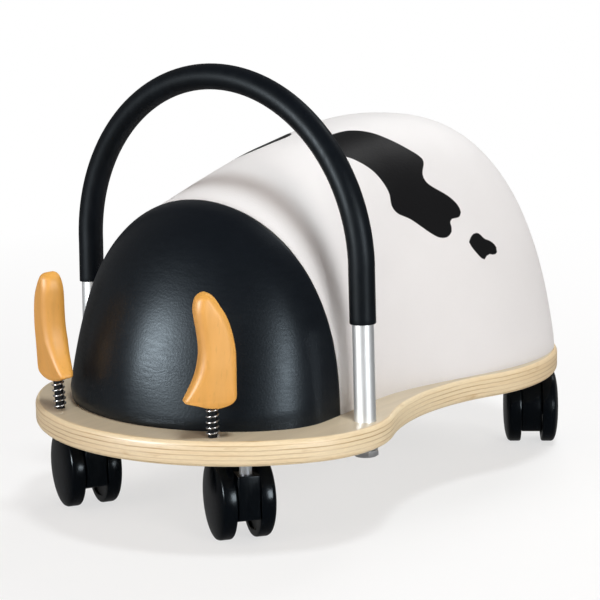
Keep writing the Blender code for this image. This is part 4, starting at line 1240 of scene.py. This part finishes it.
class COW_OT_horns(bpy.types.Operator):
    """The horns, with their springs, rubber cores and nuts"""

    bl_idname = "cow.horns"
    bl_label = "Horns"

    def execute(self, context):
        s = sizes()
        wood = finish("horn", varnished_wood)
        wire, rubber = finish("spring_steel", spring_steel), finish("core", core_rubber)
        middle, top = s.spring_gap / 2, s.spring_gap
        foot, full, end = CORE_FOOT, CORE_RADIUS, CORE_END_RADIUS
        for word, side in SIDES.items():
            place = horn_frame(side)
            flex, board = f"horn_flex_{word}", f"horn_board_{word}"
            seat = place @ Matrix.Translation((0, 0, top + HORN_SEAT))
            horn = smooth(placed(horn_shape(f"wooden_horn_{word}"), seat), 50)
            dressed(horn, board, wood, "horn", f"horn_{word}")
            lowest = s.spring_wire / 2 + PLAY
            lower = placed(coil(f"spring_lower_{word}", lowest, middle, 0.0), place)
            upper_start = SPRING_TURNS * 2 * math.pi
            upper = placed(coil(f"spring_upper_{word}", middle, top - lowest + 2 * PLAY, upper_start), place)
            core_low = placed(turned(f"core_lower_{word}", [
                (0, foot), (0.0018, foot), (end, foot + 0.0006), (end, -0.001), (full, 0.0003),
                (full, middle * 0.33), (full, middle * 0.66), (full, middle), (0, middle)], 32), place)
            core_high = placed(turned(f"core_upper_{word}", [
                (0, middle), (full, middle), (full, middle + 0.003), (full, middle + 0.006),
                (full, top), (end, top + 0.001), (end, top + 0.012), (0, top + 0.012)], 32), place)
            for piece, material, slot_name, node in (
                (lower, wire, "steel", f"horn_spring_{word}"), (core_low, rubber, "post", f"horn_post_{word}")
            ):
                smooth(piece)
                dressed(piece, None, material, slot_name, node)
                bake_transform(piece)
            for piece, material, slot_name, node in (
                (upper, wire, "steel", f"horn_spring_{word}"), (core_high, rubber, "post", f"horn_post_{word}")
            ):
                smooth(piece)
                dressed(piece, None, material, slot_name, node)
                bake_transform(piece)
            nut = smooth(placed(hexagon(f"post_nut_{word}", NUT_RADIUS, NUT_LOW, NUT_HIGH), place))
            dressed(nut, "frame", finish("steel", steel), "steel", f"horn_nut_{word}")
        return {"FINISHED"}


# The casters

# Profiles, as (radius, height) pairs. The pin's and the socket's heights are over the floor.
AXLE = [(0, -0.0138), (0.0015, -0.0138), (0.0020, -0.0133), (0.0020, 0.0133), (0.0015, 0.0138), (0, 0.0138)]
PIN = [(0, 0.0231), (0.0037, 0.0231), (0.0037, 0.0440), (0.0037, 0.0650), (0.0030, 0.0655), (0, 0.0655)]
SOCKET = [(0.0041, 0.0540), (0.0092, 0.0540), (0.0095, 0.0543), (0.0095, 0.0551), (0.0093, 0.0552),
          (0.0055, 0.0552), (0.0055, 0.0670), (0.0041, 0.0670), (0.0041, 0.0540)]
DOME_STEPS = 24
DOME_FOOT, DOME_RISE, DOME_POWER = 0.01452, 0.00415, 2.6
HOOD_HALF, HOOD_RADIUS = 0.0068, 0.0215
HOOD_LOW, HOOD_FRONT_LOW = 0.010, 0.0168
HOOD_CORNER = 0.0016
PIN_HOLE_RADIUS, PIN_HOLE_LOW = 0.0040, 0.0228


def wheel_shape(name):
    """One wheel about Z: a shallow dish inside, a tread, and a smooth domed outer face."""
    rim = sizes().wheel_diameter / 2
    profile = [
        (0.0, 0.0142), (0.0023, 0.0142), (0.0023, 0.0071), (0.0060, 0.0071), (0.0065, 0.0076),
        (0.0066, 0.0089),
        (0.0198, 0.0089), (0.0204, 0.0086), (0.0207, 0.0076), (0.0212, 0.0071), (rim - 0.0012, 0.0071),
        (rim - 0.0006, 0.0072), (rim - 0.0002, 0.0076), (rim, 0.0083), (rim, 0.0139), (rim - 0.0001, 0.01425),
        (rim - 0.0003, DOME_FOOT),
    ]
    for i in range(1, DOME_STEPS + 1):
        share = math.cos(math.pi / 2 * i / DOME_STEPS)
        radius = (rim - 0.0003) * share if i < DOME_STEPS else 0.0
        profile.append((radius, DOME_FOOT + DOME_RISE * math.sqrt(1 - share**DOME_POWER)))
    return turned(name, profile, 96)


def hood_shape(name):
    """The hood between the wheels: arched over them, with a flat front that carries the pin."""
    s = sizes()
    trail, axle, front = s.caster_trail, s.wheel_diameter / 2, s.hood_reach
    low, front_low, top = HOOD_LOW - axle, HOOD_FRONT_LOW - axle, s.hood_top - axle
    start = math.acos((trail - HOOD_HALF) / HOOD_RADIUS)
    end = math.pi - math.asin(low / HOOD_RADIUS)
    line = [Vector((front, 0, front_low)), Vector((front, 0, top)), Vector((trail - HOOD_HALF, 0, top))]
    for i in range(41):
        turn = start + (end - start) * i / 40
        line.append(Vector((HOOD_RADIUS * math.cos(turn), 0, HOOD_RADIUS * math.sin(turn))))
    line.append(Vector((0.2 * trail, 0, low)))
    aside = Vector((0, -HOOD_HALF, 0))
    hood = extruded(name, [point + aside for point in line], (0, 2 * HOOD_HALF, 0))
    edit_edges(hood, lambda a, b: min(a.x, b.x) > front - MERGE and abs(a.y - b.y) < MERGE)
    bpy.ops.mesh.bevel(offset=HOOD_CORNER, segments=5, affect="EDGES")
    bpy.ops.object.mode_set(mode="OBJECT")
    bored(hood, PIN_HOLE_RADIUS, Matrix.Translation((trail, 0, 0)), PIN_HOLE_LOW - axle, 0.03)
    return apply_modifier(hood, "BEVEL", **ROUNDED_EDGE)


class COW_OT_casters(bpy.types.Operator):
    """The twin-wheel casters: sockets, pins, hoods, axles and wheels"""

    bl_idname = "cow.casters"
    bl_label = "Casters"

    def execute(self, context):
        s = sizes()
        plastic, metal = finish("nylon", nylon), finish("steel", steel)
        wheel, hood = smooth(wheel_shape("wheel"), 28), smooth(hood_shape("hood"), 30)
        axle, pin = smooth(turned("axle", AXLE, 24)), smooth(turned("pin", PIN, 32))
        socket = smooth(turned("socket", SOCKET, 40))
        across = Matrix.Rotation(math.pi / 2, 4, "X")
        for caster in CASTERS:
            swivel = Vector(JOINTS[f"{caster}_swivel"]["pos_m"])
            spin = JOINTS[f"{caster}_wheel_a_spin"]
            heading = swivel - Vector(spin["pos_m"])
            turn = Matrix.Rotation(math.atan2(heading.y, heading.x), 4, "Z")
            stand = Matrix.Translation((swivel.x, swivel.y, 0.0)) @ turn
            hub = stand @ Matrix.Translation((-s.caster_trail, 0, s.wheel_diameter / 2))
            fork = f"{caster}_fork"
            pieces = (
                (socket, "socket_cup", stand, "frame", metal, "steel", "socket"),
                (pin, "swivel_pin", stand, fork, finish("pin_steel", pin_steel), "steel", "pin"),
                (hood, "wheel_hood", hub, fork, plastic, "caster", "hood"),
                (axle, "wheel_axle", hub @ across, fork, metal, "steel", "axle"),
                (wheel, "disc_a", hub @ across, f"{caster}_wheel_a", plastic, "caster", "wheel_a"),
                (wheel, "disc_b", hub @ across.inverted(), f"{caster}_wheel_b", plastic, "caster", "wheel_b"),
            )
            for shape, word, place, body, material, slot_name, node in pieces:
                piece = copied(shape, f"{caster}_{word}", place)
                dressed(piece, body, material, slot_name, f"caster_{caster}_{node}")
        removed(wheel, hood, axle, pin, socket)
        return {"FINISHED"}


class COW_OT_hidden_parts(bpy.types.Operator):
    """Materials for what no piece stands for: the board under the padding"""

    bl_idname = "cow.hidden_parts"
    bl_label = "Hidden parts"

    def execute(self, context):
        board = frame["nodes"]["seat_board"]
        board.data.materials.clear()
        board.data.materials.append(finish("seat_board", plywood))
        return {"FINISHED"}


# The stage


MIDDLE = Vector((0.0, 0.0, 0.13))
AMBIENT = 0.17
AMBIENT_TINT = (1, 0.82, 0.72)
REFLECTED = 0.15
EYE = (0.7819, -1.00995, 0.3603)
RIGHT, AHEAD = Vector((0.7884, 0.6150, -0.0146)), Vector((-0.6063, 0.7727, -0.1880))
LENS, SENSOR = 120.38, 36.0
FLOOR_SIZE, FLOOR_HEIGHT = 30, -0.0004
WHITE = (1, 1, 1)
# Heading, elevation, distance, size, energy, whether it lights, whether it shows, and tint
LAMPS = {
    "front_box": (-14, 14, 1.6, (0.8, 1.0), 8.0, True, False, (1.0, 0.91, 0.86)),
    "side_box": (66, 18, 1.6, (0.4, 0.6), 8.5, True, False, (1.0, 0.96, 0.94)),
    "top_box": (57, 68, 1.5, (0.3, 0.3), 11.0, True, False, (0.93, 0.98, 1.0)),
    "back_box": (-165, 40, 1.6, (0.9, 0.9), 14.0, True, False, WHITE),
    "front_sheen": (-14, 11, 1.6, (0.45, 0.32), 34.0, False, True, WHITE),
    "side_sheen": (74, 8, 1.6, (0.4, 0.5), 17.0, False, True, WHITE),
    "back_sheen": (166, 47, 1.6, (0.4, 0.4), 2.5, False, True, WHITE),
}


def softbox(name, heading, elevation, distance, size, energy, lights, shows, tint):
    """A soft lamp aimed at the cow. Heading 0 is straight ahead of it and 90 on its left. Some
    lamps only light it, and some only show in its gloss."""
    turn, rise = math.radians(heading), math.radians(elevation)
    way = Vector((math.sin(turn) * math.cos(rise), -math.cos(turn) * math.cos(rise), math.sin(rise)))
    data = bpy.data.lights.new(name, "AREA")
    data.shape = "RECTANGLE"
    data.size, data.size_y = size
    data.energy = energy
    data.color = tint
    lamp = bpy.data.objects.new(name, data)
    bpy.context.scene.collection.objects.link(lamp)
    lamp.location = MIDDLE + way * distance
    lamp.rotation_mode = "QUATERNION"
    lamp.rotation_quaternion = (-way).to_track_quat("-Z", "Y")
    lamp.visible_camera = False
    lamp.visible_diffuse, lamp.visible_glossy = lights, shows


def white_floor(name):
    """Pale floor that keeps the shadow, and is white to the camera away from the cow."""
    nodes = Nodes(name)
    nodes.set(Base_Color=(*colours().floor, 1.0), Roughness=0.9, Specular_IOR_Level=0.1)
    rays = nodes.add("ShaderNodeLightPath")
    seen = nodes.maths("MAXIMUM", rays.outputs["Is Camera Ray"], rays.outputs["Is Transmission Ray"])
    mirrored = nodes.maths("MULTIPLY", rays.outputs["Is Glossy Ray"], REFLECTED)
    glow = nodes.add("ShaderNodeEmission", Strength=nodes.maths("MAXIMUM", seen, mirrored))
    away = nodes.add("ShaderNodeVectorMath", operation="LENGTH")
    nodes.feed(away.inputs[0], nodes.place())
    share = nodes.range(away.outputs["Value"], 0.25, 1.1, 0.66, 1.0)
    mixed = nodes.tree.nodes.new("ShaderNodeMixShader")
    share = nodes.maths("MAXIMUM", nodes.maths("MULTIPLY", seen, share), rays.outputs["Is Glossy Ray"])
    nodes.feed(mixed.inputs[0], share)
    nodes.feed(mixed.inputs[1], nodes.shader.outputs[0])
    nodes.feed(mixed.inputs[2], glow.outputs[0])
    output = nodes.tree.nodes["Material Output"]
    nodes.feed(output.inputs["Surface"], mixed.outputs[0])
    return nodes.made


def studio(name):
    """White to the camera and through glass, a little darker in reflections, dim as a light."""
    nodes = Nodes(name, world=True)
    rays = nodes.add("ShaderNodeLightPath").outputs
    level = AMBIENT
    for ray, strength in (("Is Glossy Ray", REFLECTED), ("Is Transmission Ray", 1.0), ("Is Camera Ray", 1.0)):
        level = nodes.maths("MAXIMUM", nodes.maths("MULTIPLY", rays[ray], strength), level)
    tint = nodes.mix(rays["Is Diffuse Ray"], WHITE, AMBIENT_TINT)
    return nodes.set(Color=tint, Strength=level).made


class COW_OT_stage(bpy.types.Operator):
    """The floor, the lamps and the camera"""

    bl_idname = "cow.stage"
    bl_label = "Stage"

    def execute(self, context):
        scene = context.scene
        nothing_selected()
        bpy.ops.mesh.primitive_plane_add(size=FLOOR_SIZE, location=(0, 0, FLOOR_HEIGHT))
        floor = named("floor")
        floor.data.materials.append(white_floor("floor"))
        scene.world = studio("studio")
        for lamp, settings in LAMPS.items():
            softbox(lamp, *settings)
        data = bpy.data.cameras.new("camera")
        data.sensor_width = SENSOR
        data.lens = LENS
        data.clip_start, data.clip_end = 0.01, 100.0
        camera = bpy.data.objects.new("camera", data)
        scene.collection.objects.link(camera)
        right, ahead = RIGHT.normalized(), AHEAD.normalized()
        up = right.cross(ahead).normalized()
        right = ahead.cross(up).normalized()
        turn = Matrix((right, up, -ahead)).transposed().to_4x4()
        camera.matrix_world = Matrix.Translation(EYE) @ turn
        scene.camera = camera
        scene.view_settings.view_transform = "Standard"
        return {"FINISHED"}


class COW_PT_pieces(bpy.types.Panel):
    """Lists the operators, sizes and colours"""

    bl_label = "Ride-on cow"
    bl_idname = "COW_PT_pieces"
    bl_space_type = "VIEW_3D"
    bl_region_type = "UI"
    bl_category = "Ride-on cow"

    def draw(self, context):
        layout = self.layout
        for operator in OPERATORS:
            layout.operator(operator.bl_idname)
        for group in (context.scene.cow_sizes, context.scene.cow_colours):
            for name in group.__annotations__:
                layout.prop(group, name)


OPERATORS = (
    COW_OT_deck,
    COW_OT_padding,
    COW_OT_handle,
    COW_OT_fastenings,
    COW_OT_horns,
    COW_OT_casters,
    COW_OT_hidden_parts,
    COW_OT_stage,
)
CLASSES = (CowSizes, CowColours, *OPERATORS, COW_PT_pieces)


def register():
    for each in CLASSES:
        bpy.utils.register_class(each)
    bpy.types.Scene.cow_sizes = bpy.props.PointerProperty(type=CowSizes)
    bpy.types.Scene.cow_colours = bpy.props.PointerProperty(type=CowColours)


def unregister():
    del bpy.types.Scene.cow_sizes
    del bpy.types.Scene.cow_colours
    for each in reversed(CLASSES):
        bpy.utils.unregister_class(each)


def main():
    register()
    bpy.ops.cow.deck()
    bpy.ops.cow.padding()
    bpy.ops.cow.handle()
    bpy.ops.cow.fastenings()
    bpy.ops.cow.horns()
    bpy.ops.cow.casters()
    bpy.ops.cow.hidden_parts()
    bpy.ops.cow.stage()


if __name__ == "__main__":
    main()
